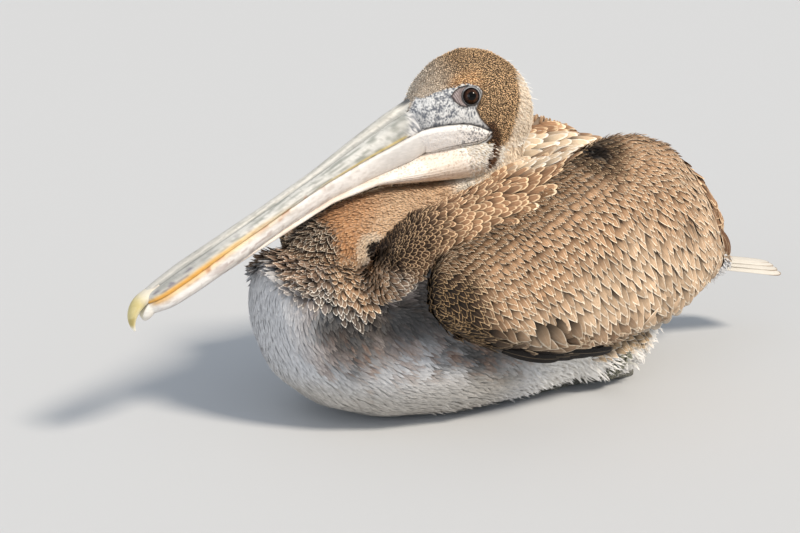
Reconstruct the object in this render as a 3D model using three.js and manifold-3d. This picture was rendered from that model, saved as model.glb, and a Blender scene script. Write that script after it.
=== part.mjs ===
// A young brown pelican resting on its belly, head drawn back on a folded neck.
// Millimetres, +Z up. The bird faces -Y, its left side is +X, and the middle of
// the flat it rests on, under the belly, is the origin.
import * as THREE from 'three';
import { mergeVertices } from 'three/addons/utils/BufferGeometryUtils.js';
import Module from 'manifold-3d';

const wasm = await Module();
wasm.setup();

// ---------- driving dimensions ----------

const gap = 0.3;                 // clear space between neighbouring pieces

const billPitch = 30;            // degrees that the bill points below level
const culmenBase = { y: -100, z: 272 };   // where the bill's ridge meets the forehead
const billLength = 290;          // from the ridge's base to the nail
const nailReach = 20;            // how far the hooked nail goes past the bill
const nailDrop = 24;             // how far its tip hangs below the ridge
const nailHalfWidth = 6.5;

const eyeRadius = 8.5;
const eyePlace = { x: 24.3, y: -51.5, z: 272.8 };

const neckRing = 16;             // sides of a neck section
const trunkRing = 26;            // sides of a trunk section

const tailLength = 110;
const tailFeathers = 7;
const tailFeatherWidth = 20;
const tailFeatherThickness = 3.2;
const tailSpread = 8;            // degrees from one outer tail feather to the other
const tailDroop = 9;             // degrees below level
const tailRoot = { y: 230, z: 88, half: 5, arch: 4 };   // the outer feathers lie lower, by arch

const footJoint = { x: 46, y: 30 };       // where the toes meet the lower leg
const lowerLegLength = 74;
const hockRadius = 11;
const hockOut = 7;               // how far the hock lies outside the foot's joint
const shankRadius = 7;
const heelHalf = 5;              // half the width of the foot at its joint
const webThickness = 2.6;
const footHeight = 11;           // highest point of the foot, at its knuckle
const clawLength = 9;
const clawRadius = 2.2;
const toes = [
  { name: 'hind', angle: -58, length: 34, radius: 3.4 },
  { name: 'inner', angle: -30, length: 74, radius: 4.0 },
  { name: 'middle', angle: -12, length: 98, radius: 4.4 },
  { name: 'outer', angle: 5, length: 93, radius: 4.0 },
];

// Each station is a section across the body at one y: half its width, its
// lowest and its highest level. What is below the floor is cut flat.
const trunkStations = [
  { y: -250, half: 15, low: 94, high: 126 },
  { y: -243, half: 36, low: 66, high: 142 },
  { y: -227, half: 57, low: 35, high: 152 },
  { y: -198, half: 82, low: 11, high: 152 },
  { y: -158, half: 99, low: -3, high: 142 },
  { y: -100, half: 109, low: -9, high: 137 },
  { y: -40, half: 112, low: -9, high: 152 },
  { y: 20, half: 110, low: -7, high: 196 },
  { y: 70, half: 102, low: -3, high: 216 },
  { y: 115, half: 88, low: 10, high: 209 },
  { y: 160, half: 70, low: 31, high: 184 },
  { y: 200, half: 54, low: 50, high: 150 },
  { y: 240, half: 40, low: 66, high: 114 },
  { y: 262, half: 28, low: 74, high: 100 },
];

// Scapular mound, between the neck and the wing.
const shoulderStations = [
  { y: -178, x: 74, half: 12, low: 122, high: 146 },
  { y: -166, x: 72, half: 27, low: 104, high: 167 },
  { y: -128, x: 69, half: 42, low: 90, high: 191 },
  { y: -66, x: 65, half: 49, low: 92, high: 207 },
  { y: 0, x: 59, half: 50, low: 110, high: 220 },
  { y: 50, x: 53, half: 48, low: 120, high: 227 },
  { y: 105, x: 49, half: 44, low: 120, high: 222 },
  { y: 150, x: 45, half: 37, low: 118, high: 211 },
  { y: 192, x: 41, half: 28, low: 114, high: 187 },
  { y: 216, x: 37, half: 18, low: 116, high: 159 },
  { y: 236, x: 34, half: 8, low: 112, high: 136 },
];

// Folded wing: x is the middle of its thickness, lean turns the top inwards.
const wingStations = [
  { y: -160, x: 128, half: 6, low: 124, high: 144, lean: 2 },
  { y: -154, x: 126, half: 12, low: 112, high: 154, lean: 3 },
  { y: -140, x: 121, half: 21, low: 98, high: 163, lean: 5 },
  { y: -118, x: 114, half: 28, low: 85, high: 171, lean: 7 },
  { y: -92, x: 109, half: 32, low: 73, high: 181, lean: 8 },
  { y: -58, x: 105, half: 35, low: 62, high: 195, lean: 9 },
  { y: -20, x: 103, half: 37, low: 56, high: 212, lean: 10 },
  { y: 25, x: 100, half: 37, low: 54, high: 234, lean: 10 },
  { y: 62, x: 97, half: 35, low: 57, high: 242, lean: 10 },
  { y: 95, x: 92, half: 33, low: 62, high: 239, lean: 11 },
  { y: 130, x: 86, half: 29, low: 69, high: 227, lean: 11 },
  { y: 162, x: 79, half: 23, low: 79, high: 201, lean: 11 },
  { y: 188, x: 73, half: 16, low: 89, high: 166, lean: 10 },
  { y: 207, x: 69, half: 8, low: 98, high: 128, lean: 8 },
];

// Folded flight feathers: they show under the wing's lower edge and behind it.
const flightStations = [
  { y: -58, x: 126, half: 3, low: 60, high: 74, lean: 2 },
  { y: -40, x: 122, half: 6, low: 53, high: 82, lean: 3 },
  { y: 20, x: 116, half: 7, low: 48, high: 86, lean: 5 },
  { y: 80, x: 104, half: 7, low: 54, high: 94, lean: 7 },
  { y: 130, x: 90, half: 7, low: 66, high: 106, lean: 8 },
  { y: 180, x: 75, half: 7, low: 82, high: 122, lean: 8 },
  { y: 214, x: 65, half: 6, low: 94, high: 124, lean: 7 },
  { y: 226, x: 61, half: 3, low: 101, high: 114, lean: 6 },
];

// Feathered thigh at the back of the belly.
const thighStations = [
  { y: 20, x: 72, half: 10, low: 26, high: 52 },
  { y: 40, x: 71, half: 24, low: 12, high: 66 },
  { y: 72, x: 66, half: 31, low: 5, high: 76 },
  { y: 104, x: 58, half: 30, low: 9, high: 80 },
  { y: 130, x: 49, half: 23, low: 20, high: 78 },
  { y: 146, x: 44, half: 12, low: 34, high: 70 },
];

const headStations = [
  { y: -108, half: 12, low: 238, high: 261 },
  { y: -101, half: 17, low: 228, high: 271 },
  { y: -87, half: 23, low: 221, high: 291 },
  { y: -69, half: 29, low: 217, high: 305 },
  { y: -45, half: 32.5, low: 214, high: 313 },
  { y: -20, half: 33, low: 211, high: 310.5 },
  { y: 1, half: 30, low: 212, high: 300 },
  { y: 15, half: 24, low: 218, high: 287 },
  { y: 24, half: 15, low: 228, high: 270 },
  { y: 28, half: 7, low: 239, high: 259 },
];

// The bill's own frame: y runs from the ridge's base, forward negative, and z
// is up from the ridge line. edge is where the two halves of the bill meet.
const billStations = [
  { y: 2, half: 16, top: -1, edge: -27, under: -50 },
  { y: -25, half: 16.5, top: 1, edge: -22, under: -48 },
  { y: -66, half: 14.5, top: 1, edge: -16, under: -38 },
  { y: -110, half: 13, top: 0, edge: -11, under: -29 },
  { y: -160, half: 13, top: 2, edge: -8, under: -24.5 },
  { y: -215, half: 14.5, top: 5.5, edge: -4.5, under: -22.5 },
  { y: -250, half: 15.2, top: 8, edge: -3.5, under: -20.5 },
  { y: -275, half: 13.8, top: 8, edge: -2.5, under: -18 },
  { y: -290, half: 9.3, top: 7, edge: -1, under: -13 },
];
// The lower half ends in a blunt knob under the nail's hook.
const lowerTip = { y: -296, half: 6.5, edge: -7.6, under: -15.5 };

const pouchStations = [
  { y: -232, half: 7, top: -15, low: -23.5 },
  { y: -160, half: 9, top: -22, low: -28 },
  { y: -110, half: 11, top: -27, low: -34 },
  { y: -66, half: 15, top: -36, low: -46 },
  { y: -35, half: 20, top: -44, low: -63 },
  { y: -5, half: 23, top: -50, low: -82 },
  { y: 18, half: 24, top: -58, low: -90 },
  { y: 36, half: 18, top: -66, low: -86 },
];

// Middle line of the neck, from inside the head to inside the breast.
const neckLine = [
  { y: -7, z: 236, radius: 26 },
  { y: -8, z: 205, radius: 29 },
  { y: -26, z: 177, radius: 32 },
  { y: -68, z: 163, radius: 34 },
  { y: -114, z: 162, radius: 34.5 },
  { y: -160, z: 151, radius: 35.5 },
  { y: -195, z: 128, radius: 37 },
  { y: -203, z: 96, radius: 40 },
];
const neckCuts = [0, 0.25, 0.5, 0.74, 1];
const neckNames = ['neck_upper', 'neck_back_bend', 'neck_middle', 'neck_front_bend'];

const colours = {
  trunk: 0xb9b0a6, shoulder: 0x8b6f58, wing: 0x96745a, flight: 0x5d524a,
  neck: 0x8f674a, head: 0x8a6a50, bill: 0xc9c3b4, pouch: 0xc6aa94,
  nail: 0xd9a441, eye: 0x3a1c10, tail: 0xe6ded2, leg: 0x6f7468, claw: 0x2c2a28,
};

// ---------- small tools ----------

const radians = (degrees) => THREE.MathUtils.degToRad(degrees);

// A closed ring: u and v are unit vectors across the section. power above 2
// squares it, and up and down are its two half heights along v.
function ring(centre, u, v, half, up, down, power, sides) {
  const points = [];
  for (let k = 0; k < sides; k += 1) {
    const a = (2 * Math.PI * k) / sides;
    const c = Math.cos(a);
    const s = Math.sin(a);
    const across = half * Math.sign(c) * Math.abs(c) ** (2 / power);
    const along = (s > 0 ? up : down) * Math.sign(s) * Math.abs(s) ** (2 / power);
    points.push(centre.clone().addScaledVector(u, across).addScaledVector(v, along));
  }
  return points;
}

// One closed body through a row of rings, with a fan of triangles at each end.
function loft(rings) {
  const sides = rings[0].length;
  const points = rings.flat();
  const faces = [];
  for (let r = 0; r < rings.length - 1; r += 1) {
    for (let k = 0; k < sides; k += 1) {
      const a = r * sides + k;
      const b = r * sides + ((k + 1) % sides);
      faces.push(a, b, b + sides, a, b + sides, a + sides);
    }
  }
  for (const end of [0, rings.length - 1]) {
    const middle = new THREE.Vector3();
    rings[end].forEach((p) => middle.addScaledVector(p, 1 / sides));
    points.push(middle);
    for (let k = 0; k < sides; k += 1) {
      const a = end * sides + k;
      const b = end * sides + ((k + 1) % sides);
      if (end === 0) faces.push(points.length - 1, b, a);
      else faces.push(points.length - 1, a, b);
    }
  }
  const geometry = new THREE.BufferGeometry().setFromPoints(points);
  geometry.setIndex(faces);
  return facingOut(geometry);
}

// The same body with its faces turned to point out.
function facingOut(geometry) {
  const place = geometry.attributes.position;
  const index = geometry.index.array;
  const [a, b, c] = [new THREE.Vector3(), new THREE.Vector3(), new THREE.Vector3()];
  let volume = 0;
  for (let i = 0; i < index.length; i += 3) {
    a.fromBufferAttribute(place, index[i]);
    b.fromBufferAttribute(place, index[i + 1]);
    c.fromBufferAttribute(place, index[i + 2]);
    volume += a.dot(b.cross(c));
  }
  if (volume < 0) {
    for (let i = 0; i < index.length; i += 3) {
      [index[i], index[i + 1]] = [index[i + 1], index[i]];
    }
  }
  return geometry;
}

// The body with its shared corners merged, as booleans and mirroring need it.
function welded(geometry) {
  const bare = geometry.clone();
  bare.deleteAttribute('normal');
  bare.deleteAttribute('uv');
  return mergeVertices(bare, 1e-4);
}

function solidOf(geometry) {
  const merged = welded(geometry);
  return new wasm.Manifold(new wasm.Mesh({
    numProp: 3,
    vertProperties: new Float32Array(merged.attributes.position.array),
    triVerts: new Uint32Array(merged.index.array),
  }));
}

function geometryOf(solid) {
  const mesh = solid.getMesh();
  const geometry = new THREE.BufferGeometry();
  geometry.setAttribute('position', new THREE.BufferAttribute(mesh.vertProperties, 3));
  geometry.setIndex(new THREE.BufferAttribute(mesh.triVerts, 1));
  return geometry;
}

function cut(geometry, ...tools) {
  return geometryOf(tools.reduce((body, tool) => body.subtract(solidOf(tool)), solidOf(geometry)));
}

function join(geometries) {
  return geometryOf(geometries.map(solidOf).reduce((body, next) => body.add(next)));
}

function mirrored(geometry) {
  return facingOut(welded(geometry).scale(-1, 1, 1));
}

// Puts a geometry made in the bill's own frame where the bill is.
function fromBill(geometry) {
  return geometry.clone().rotateX(radians(billPitch)).translate(0, culmenBase.y, culmenBase.z);
}

// ---------- lofted bodies, each grown by a margin on every side ----------

const across = new THREE.Vector3(1, 0, 0);
const upward = new THREE.Vector3(0, 0, 1);

// Rings across y. waist is how high the widest level lies, from 0 to 1.
function bodyLoft(stations, { grow = 0, sides = 20, power = 2, waist = 0.5, floor = null }) {
  const rings = stations.map((s, i, all) => {
    const middle = THREE.MathUtils.lerp(s.low, s.high, waist);
    const lean = radians(s.lean ?? 0);
    const u = across.clone().applyAxisAngle(new THREE.Vector3(0, 1, 0), -lean);
    const v = upward.clone().applyAxisAngle(new THREE.Vector3(0, 1, 0), -lean);
    const end = (i === 0 ? -grow : 0) + (i === all.length - 1 ? grow : 0);
    const centre = new THREE.Vector3(s.x ?? 0, s.y + end, middle);
    const up = s.high - middle + grow;
    const down = middle - s.low + grow;
    const points = ring(centre, u, v, s.half + grow, up, down, power, sides);
    if (floor !== null) points.forEach((p) => { p.z = Math.max(p.z, floor - grow); });
    return points;
  });
  return loft(rings);
}

const trunk = (grow) => bodyLoft(trunkStations,
  { grow, sides: trunkRing, power: 2.15, waist: 0.45, floor: 0 });
const shoulder = (grow) => bodyLoft(shoulderStations, { grow, sides: 18, waist: 0.6 });
const wing = (grow) => bodyLoft(wingStations, { grow, sides: 18, power: 2.1, waist: 0.46 });
const flight = (grow) => bodyLoft(flightStations, { grow, sides: 12 });
const thigh = (grow) => bodyLoft(thighStations, { grow, sides: 12, floor: 2 });
const head = (grow) => bodyLoft(headStations, { grow, sides: 18, power: 2.1 });

// ---------- bill ----------

// The upper half is a low roof over a flat underside, with a raised ridge.
function upperBill() {
  const ridgeHalf = 3.2;
  const rings = billStations.map((s) => {
    const height = s.top - s.edge;
    const roof = [
      [s.half, 0], [s.half * 0.98, height * 0.3], [s.half * 0.8, height * 0.62],
      [s.half * 0.5, height * 0.8], [ridgeHalf + 1, height * 0.84],
      [ridgeHalf * 0.8, height * 0.98], [0, height],
    ];
    const left = roof.slice(0, -1).map(([x, z]) => new THREE.Vector3(-x, s.y, s.edge + z)).reverse();
    return [...roof.map(([x, z]) => new THREE.Vector3(x, s.y, s.edge + z)), ...left];
  });
  return loft(rings);
}

// The lower half is a bar with a flat top and a rounded keel.
function lowerBill(grow) {
  const sides = 8;
  const rings = [...billStations.slice(0, -1), lowerTip].map((s) => {
    const top = s.edge - gap;
    const depth = top - s.under + grow;
    const points = [];
    for (let k = 0; k <= sides; k += 1) {
      const a = (Math.PI * k) / sides;
      const x = (s.half - 0.8 + grow) * Math.sign(Math.cos(a)) * Math.abs(Math.cos(a)) ** 0.75;
      points.push(new THREE.Vector3(x, s.y, top - depth * Math.sin(a) ** 0.75));
    }
    return points;
  });
  return loft(rings);
}

function pouchBag(grow) {
  const rings = pouchStations.map((s) => {
    const middle = (s.top + s.low) / 2;
    const centre = new THREE.Vector3(0, s.y, middle);
    return ring(centre, across, upward, s.half + grow, s.top - middle + grow, middle - s.low + grow, 2, 14);
  });
  return loft(rings);
}

// The nail hooks down over the tip: rings swing from facing forward to down.
function billNail() {
  const steps = 6;
  const last = billStations[billStations.length - 1];
  const rings = [];
  for (let k = 0; k <= steps; k += 1) {
    const t = k / steps;
    const turn = radians(84) * t ** 1.15;
    const y = -billLength - gap - nailReach * Math.sin(radians(90) * t);
    const z = last.top - 5 - (nailDrop - 6) * (1 - Math.cos(radians(90) * t));
    const thin = 1 - 0.82 * t ** 1.6;
    const v = upward.clone().applyAxisAngle(across, turn);
    rings.push(ring(new THREE.Vector3(0, y, z), across, v, nailHalfWidth * (1.15 - 0.95 * t * t),
      4.6 * thin, 5.2 * thin, 2, 10));
  }
  return loft(rings);
}

// ---------- neck ----------

function neckPath() {
  const points = neckLine.map((p) => new THREE.Vector3(0, p.y, p.z));
  return new THREE.CatmullRomCurve3(points, false, 'centripetal');
}

// One length of the neck, between two parts of its middle line from 0 to 1.
function neckLength(from, to, grow) {
  const path = neckPath();
  const total = path.getLength();
  const start = from === 0 ? 0 : from + gap / total;
  const steps = Math.ceil(16 * (to - from));
  const rings = [];
  for (let k = 0; k <= steps; k += 1) {
    const t = THREE.MathUtils.lerp(start, to, k / steps);
    const centre = path.getPointAt(t);
    const forward = path.getTangentAt(t);
    const v = new THREE.Vector3().crossVectors(across, forward);
    const along = path.getUtoTmapping(t) * (neckLine.length - 1);
    const i = Math.min(Math.floor(along), neckLine.length - 2);
    const radius = THREE.MathUtils.lerp(neckLine[i].radius, neckLine[i + 1].radius, along - i) + grow;
    rings.push(ring(centre, across, v, radius, radius, radius, 2, neckRing));
  }
  return loft(rings);
}

// ---------- legs and feet ----------

// A bar lying on the floor, with a flat underside, from one end to the other.
function lyingBar(start, end, radii, sides = 8) {
  const forward = new THREE.Vector3(end.x - start.x, end.y - start.y, 0).normalize();
  const side = new THREE.Vector3(forward.y, -forward.x, 0);
  const rings = radii.map((radius, i) => {
    const t = i / (radii.length - 1);
    const x = THREE.MathUtils.lerp(start.x, end.x, t);
    const y = THREE.MathUtils.lerp(start.y, end.y, t);
    const centre = new THREE.Vector3(x, y, radius * 0.8);
    const points = ring(centre, side, upward, radius, radius, radius, 2, sides);
    points.forEach((p) => { p.z = Math.max(p.z, 0); });
    return points;
  });
  return loft(rings);
}

function toeTip(toe, extra = 0) {
  const a = radians(toe.angle);
  const reach = toe.length + extra;
  return { x: footJoint.x + reach * Math.sin(a), y: footJoint.y - reach * Math.cos(a) };
}

function toeBar(toe) {
  const r = toe.radius;
  return lyingBar(footJoint, toeTip(toe), [r * 1.35, r, r * 0.9, r * 0.6]);
}

// The web joins all four toes, with its front edge drawn in between them.
function webSheet() {
  const outline = new THREE.Shape();
  const drawIn = 0.86;
  outline.moveTo(footJoint.x - heelHalf, footJoint.y + heelHalf);
  toes.forEach((toe, i) => {
    const tip = toeTip(toe, -4);
    if (i === 0) {
      outline.lineTo(tip.x, tip.y);
      return;
    }
    const before = toeTip(toes[i - 1], -4);
    const x = THREE.MathUtils.lerp(footJoint.x, (before.x + tip.x) / 2, drawIn);
    const y = THREE.MathUtils.lerp(footJoint.y, (before.y + tip.y) / 2, drawIn);
    outline.quadraticCurveTo(x, y, tip.x, tip.y);
  });
  outline.lineTo(footJoint.x + heelHalf, footJoint.y + heelHalf);
  outline.closePath();
  return new THREE.ExtrudeGeometry(outline, { depth: webThickness, bevelEnabled: false, curveSegments: 3 });
}

function footBody() {
  const back = { x: footJoint.x, y: footJoint.y + 4 };
  const front = { x: footJoint.x, y: footJoint.y - 12 };
  return join([webSheet(), lyingBar(back, front, [5.4, footHeight / 1.8, 5]), ...toes.map(toeBar)]);
}

function claw(toe) {
  return lyingBar(toeTip(toe, gap), toeTip(toe, gap + clawLength), [clawRadius, clawRadius * 0.7, 0.5], 6);
}

// The hollow in the belly above a foot and lower leg: a fan over the toes and
// a taller slot over the hock.
function legHollow() {
  const spare = 3;
  const below = 10;
  const fan = new THREE.Shape();
  fan.moveTo(footJoint.x - hockRadius, footJoint.y + spare);
  toes.forEach((toe) => {
    const tip = toeTip(toe, gap + clawLength + spare);
    for (const side of [-1, 1]) {
      const a = radians(toe.angle + 45 * side);
      fan.lineTo(tip.x + spare * Math.sin(a), tip.y - spare * Math.cos(a));
    }
  });
  fan.lineTo(footJoint.x + hockRadius, footJoint.y + spare);
  fan.closePath();
  const slot = new THREE.Shape();
  const heel = footJoint.y + lowerLegLength + hockRadius + spare;
  const half = hockRadius + spare;
  slot.moveTo(footJoint.x - half, footJoint.y);
  slot.lineTo(footJoint.x + half, footJoint.y);
  slot.lineTo(footJoint.x + half + hockOut, heel);
  slot.lineTo(footJoint.x - half + hockOut, heel);
  slot.closePath();
  const block = (shape, height) => new THREE.ExtrudeGeometry(shape,
    { depth: height + below, bevelEnabled: false }).translate(0, 0, -below);
  return join([block(fan, footHeight + gap), block(slot, 1.8 * hockRadius + gap)]);
}

// The lower leg lies flat behind the foot and ends in the swollen hock.
function lowerLeg() {
  const start = { x: footJoint.x, y: footJoint.y + heelHalf + 1 };
  const end = { x: footJoint.x + hockOut, y: footJoint.y + lowerLegLength + hockRadius };
  const r = shankRadius;
  return lyingBar(start, end, [r * 0.95, r * 0.9, r * 0.95, r * 1.15, hockRadius, hockRadius * 0.95, 5], 10);
}

// ---------- feathers that are large enough to be pieces ----------

// One blade: long, thin, slightly roofed, with a rounded tip.
function blade(length, width, thickness) {
  const rings = [];
  const steps = 4;
  for (let k = 0; k <= steps; k += 1) {
    const t = 1 - (1 - k / steps) ** 1.4;
    const taper = t < 0.72 ? 0.72 + 0.28 * (t / 0.72) : Math.sqrt(1 - (((t - 0.72) / 0.285) ** 2));
    const half = (width / 2) * taper;
    const centre = new THREE.Vector3(0, length * t, 0);
    rings.push(ring(centre, across, upward, half, thickness / 2, thickness / 2, 2, 6));
  }
  return loft(rings);
}

// The tail is a stack: the middle feather on top, the outer ones lowest.
function tailFan() {
  const feathers = [];
  const middle = (tailFeathers - 1) / 2;
  for (let k = 0; k < tailFeathers; k += 1) {
    const side = (k - middle) / middle;
    const feather = blade(tailLength * (1 - 0.12 * side * side), tailFeatherWidth, tailFeatherThickness);
    feather.rotateY(radians(14) * side);
    feather.rotateX(-radians(tailDroop));
    feather.rotateZ(-radians(tailSpread / 2) * side);
    feather.translate(tailRoot.half * side, tailRoot.y, tailRoot.z - tailRoot.arch * side * side);
    feathers.push(feather);
  }
  return join(feathers);
}

// ---------- assembly ----------

const bird = new THREE.Group();

function addPiece(parent, name, geometry, colour, roughness = 0.85) {
  const material = new THREE.MeshStandardMaterial({ color: colour, roughness, metalness: 0 });
  const mesh = new THREE.Mesh(geometry, material);
  mesh.name = name;
  parent.add(mesh);
}

// The same piece on both sides: tools lie across the middle, sideTools are
// the left side's own and are mirrored for the right.
function addPair(name, geometry, colour, { tools = [], sideTools = [], roughness = 0.85 } = {}) {
  const right = sideTools.map(mirrored);
  addPiece(bird, `${name}_left`, cut(geometry, ...tools, ...sideTools), colour, roughness);
  addPiece(bird, `${name}_right`, cut(mirrored(geometry), ...tools, ...right), colour, roughness);
}

function eyeBall(radius) {
  const ball = new THREE.SphereGeometry(radius, 10, 7).rotateZ(Math.PI / 2);
  return ball.translate(eyePlace.x, eyePlace.y, eyePlace.z);
}

const socket = eyeBall(eyeRadius + gap);
addPiece(bird, 'head', cut(head(0), socket, mirrored(socket)), colours.head);
addPair('eye', eyeBall(eyeRadius), colours.eye, { roughness: 0.1 });

// The bill's pieces hang in one tilted group, cut where they enter the head.
const billGroup = new THREE.Group();
billGroup.position.set(0, culmenBase.y, culmenBase.z);
billGroup.rotation.x = radians(billPitch);
bird.add(billGroup);
const headInBill = head(gap).translate(0, -culmenBase.y, -culmenBase.z).rotateX(-radians(billPitch));
addPiece(billGroup, 'bill_upper', cut(upperBill(), headInBill), colours.bill, 0.5);
addPiece(billGroup, 'bill_lower', cut(lowerBill(0), headInBill), colours.bill, 0.5);
addPiece(billGroup, 'bill_nail', billNail(), colours.nail, 0.4);
addPiece(billGroup, 'pouch', cut(pouchBag(0), headInBill, lowerBill(gap)), colours.pouch, 0.6);

// Neck lengths give way to the head, the pouch and the trunk.
const trunkTool = trunk(gap);
const neckTools = [head(gap), fromBill(pouchBag(gap)), trunkTool];
neckNames.forEach((name, i) => {
  addPiece(bird, name, cut(neckLength(neckCuts[i], neckCuts[i + 1], 0), ...neckTools), colours.neck);
});

// The shoulders give way to the trunk and neck, the wings to both, and the
// flight feathers to the wings.
const wideTools = [trunkTool, neckLength(0, 1, gap)];
addPair('shoulder', shoulder(0), colours.shoulder, { tools: wideTools });
addPair('wing', wing(0), colours.wing, { tools: wideTools, sideTools: [shoulder(gap)] });
addPair('flight_feathers', flight(0), colours.flight,
  { tools: wideTools, sideTools: [shoulder(gap), wing(gap)] });

// The legs lie in hollows in the underside, so the trunk and thighs are cut.
const hollow = legHollow();
addPiece(bird, 'trunk', cut(trunk(0), hollow, mirrored(hollow)), colours.trunk);
addPair('thigh', thigh(0), colours.trunk,
  { tools: [trunkTool], sideTools: [hollow, flight(gap), wing(gap)] });
addPair('leg', lowerLeg(), colours.leg, { roughness: 0.6 });
addPair('foot', footBody(), colours.leg, { roughness: 0.6 });
toes.forEach((toe) => addPair(`claw_${toe.name}`, claw(toe), colours.claw, { roughness: 0.4 }));
addPiece(bird, 'tail', cut(tailFan(), trunkTool), colours.tail);

export default bird;
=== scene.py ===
import math
import bpy
import bmesh
import numpy as np
from itertools import product
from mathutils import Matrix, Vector
from mathutils.bvhtree import BVHTree
from mathutils.kdtree import KDTree


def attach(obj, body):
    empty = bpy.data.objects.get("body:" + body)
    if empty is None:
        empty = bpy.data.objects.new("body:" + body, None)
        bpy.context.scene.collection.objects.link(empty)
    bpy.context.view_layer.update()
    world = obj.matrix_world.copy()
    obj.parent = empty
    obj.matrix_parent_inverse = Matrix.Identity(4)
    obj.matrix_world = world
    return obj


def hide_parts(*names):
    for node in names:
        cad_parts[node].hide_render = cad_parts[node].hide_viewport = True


# A young brown pelican lying on its belly. Metres, facing -Y, left side +X.
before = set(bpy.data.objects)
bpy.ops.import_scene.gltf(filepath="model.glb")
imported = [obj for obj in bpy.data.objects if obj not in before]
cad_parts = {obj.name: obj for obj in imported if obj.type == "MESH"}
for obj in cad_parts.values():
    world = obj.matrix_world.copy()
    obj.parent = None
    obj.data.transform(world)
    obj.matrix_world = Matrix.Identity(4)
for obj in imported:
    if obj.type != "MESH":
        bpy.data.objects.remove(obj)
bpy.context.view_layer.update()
print("frame loaded with", len(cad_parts), "nodes")

mm = 0.001
sides = (("left", 1), ("right", -1))


def paint(code):  # screen colour as six hex digits -> linear red, green, blue
    parts = np.array([int(code[i:i + 2], 16) / 255 for i in (0, 2, 4)])
    return np.where(parts < 0.04045, parts / 12.92, ((parts + 0.055) / 1.055) ** 2.4)


def step(low, high, value):
    part = np.clip((value - low) / (high - low), 0, 1)
    return part * part * (3 - 2 * part)


def blend(first, second, share):
    share = np.asarray(share)[..., None]
    return first * (1 - share) + second * share


def layered(colour, *layers):  # each layer is a colour, as a code or as numbers, and its share
    for tone, share in layers:
        colour = blend(colour, paint(tone) if isinstance(tone, str) else tone, share)
    return colour


def near(away, width):  # 1 on a line, fading out beside it
    return np.exp(-(away / width) ** 2)


def leftSide(places):  # the same places, those of the right side moved over to the left
    return np.column_stack([np.abs(places[:, 0]), places[:, 1:]])


def measures(places):  # how far out, back and up places lie, in millimetres
    return np.abs(places[:, 0]) / mm, places[:, 1] / mm, places[:, 2] / mm


def unit(vectors):
    return vectors / np.maximum(np.linalg.norm(vectors, axis=-1, keepdims=True), 1e-12)


def dot(first, second):
    return (first * second).sum(-1)


def mottle(places, size, seed):  # smooth random field from 0 to 1
    grid = np.asarray(places) / size + seed * 17.31
    cell = np.floor(grid).astype(np.int64)
    part = grid - cell
    part = part * part * (3 - 2 * part)
    total = np.zeros(len(grid))
    for corner in np.ndindex(2, 2, 2):
        spot = cell + np.array(corner)
        code = (spot[:, 0] * 73856093) ^ (spot[:, 1] * 19349663) ^ (spot[:, 2] * 83492791)
        code = (code * 1103515245 + 12345 + seed * 7919) & 0x7FFFFFFF
        code = ((code ^ (code >> 13)) * 69069 + 1) & 0x7FFFFFFF
        share = np.prod(np.where(np.array(corner) == 1, part, 1 - part), axis=1)
        total += share * ((code >> 7) % 8192) / 8191
    return total


def toLine(places, line):  # distance in a plane to a bent line, and how far along it
    line = np.asarray(line, float)
    best = np.full(len(places), 1e9)
    along = np.zeros(len(places))
    for i in range(len(line) - 1):
        span = line[i + 1] - line[i]
        share = np.clip(((places - line[i]) @ span) / (span @ span), 0, 1)
        away = np.linalg.norm(places - line[i] - share[:, None] * span, axis=1)
        closer = away < best
        best[closer] = away[closer]
        along[closer] = (i + share[closer]) / (len(line) - 1)
    return best, along


def insideOutline(places, outline):  # true for places inside a closed outline in a plane
    outline = np.asarray(outline, float)
    inside = np.zeros(len(places), bool)
    for (ya, za), (yb, zb) in zip(outline, np.roll(outline, -1, axis=0)):
        crosses = (za > places[:, 1]) != (zb > places[:, 1])
        at = ya + (places[:, 1] - za) * (yb - ya) / (zb - za if zb != za else 1e-9)
        inside ^= crosses & (places[:, 0] < at)
    return inside


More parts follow.
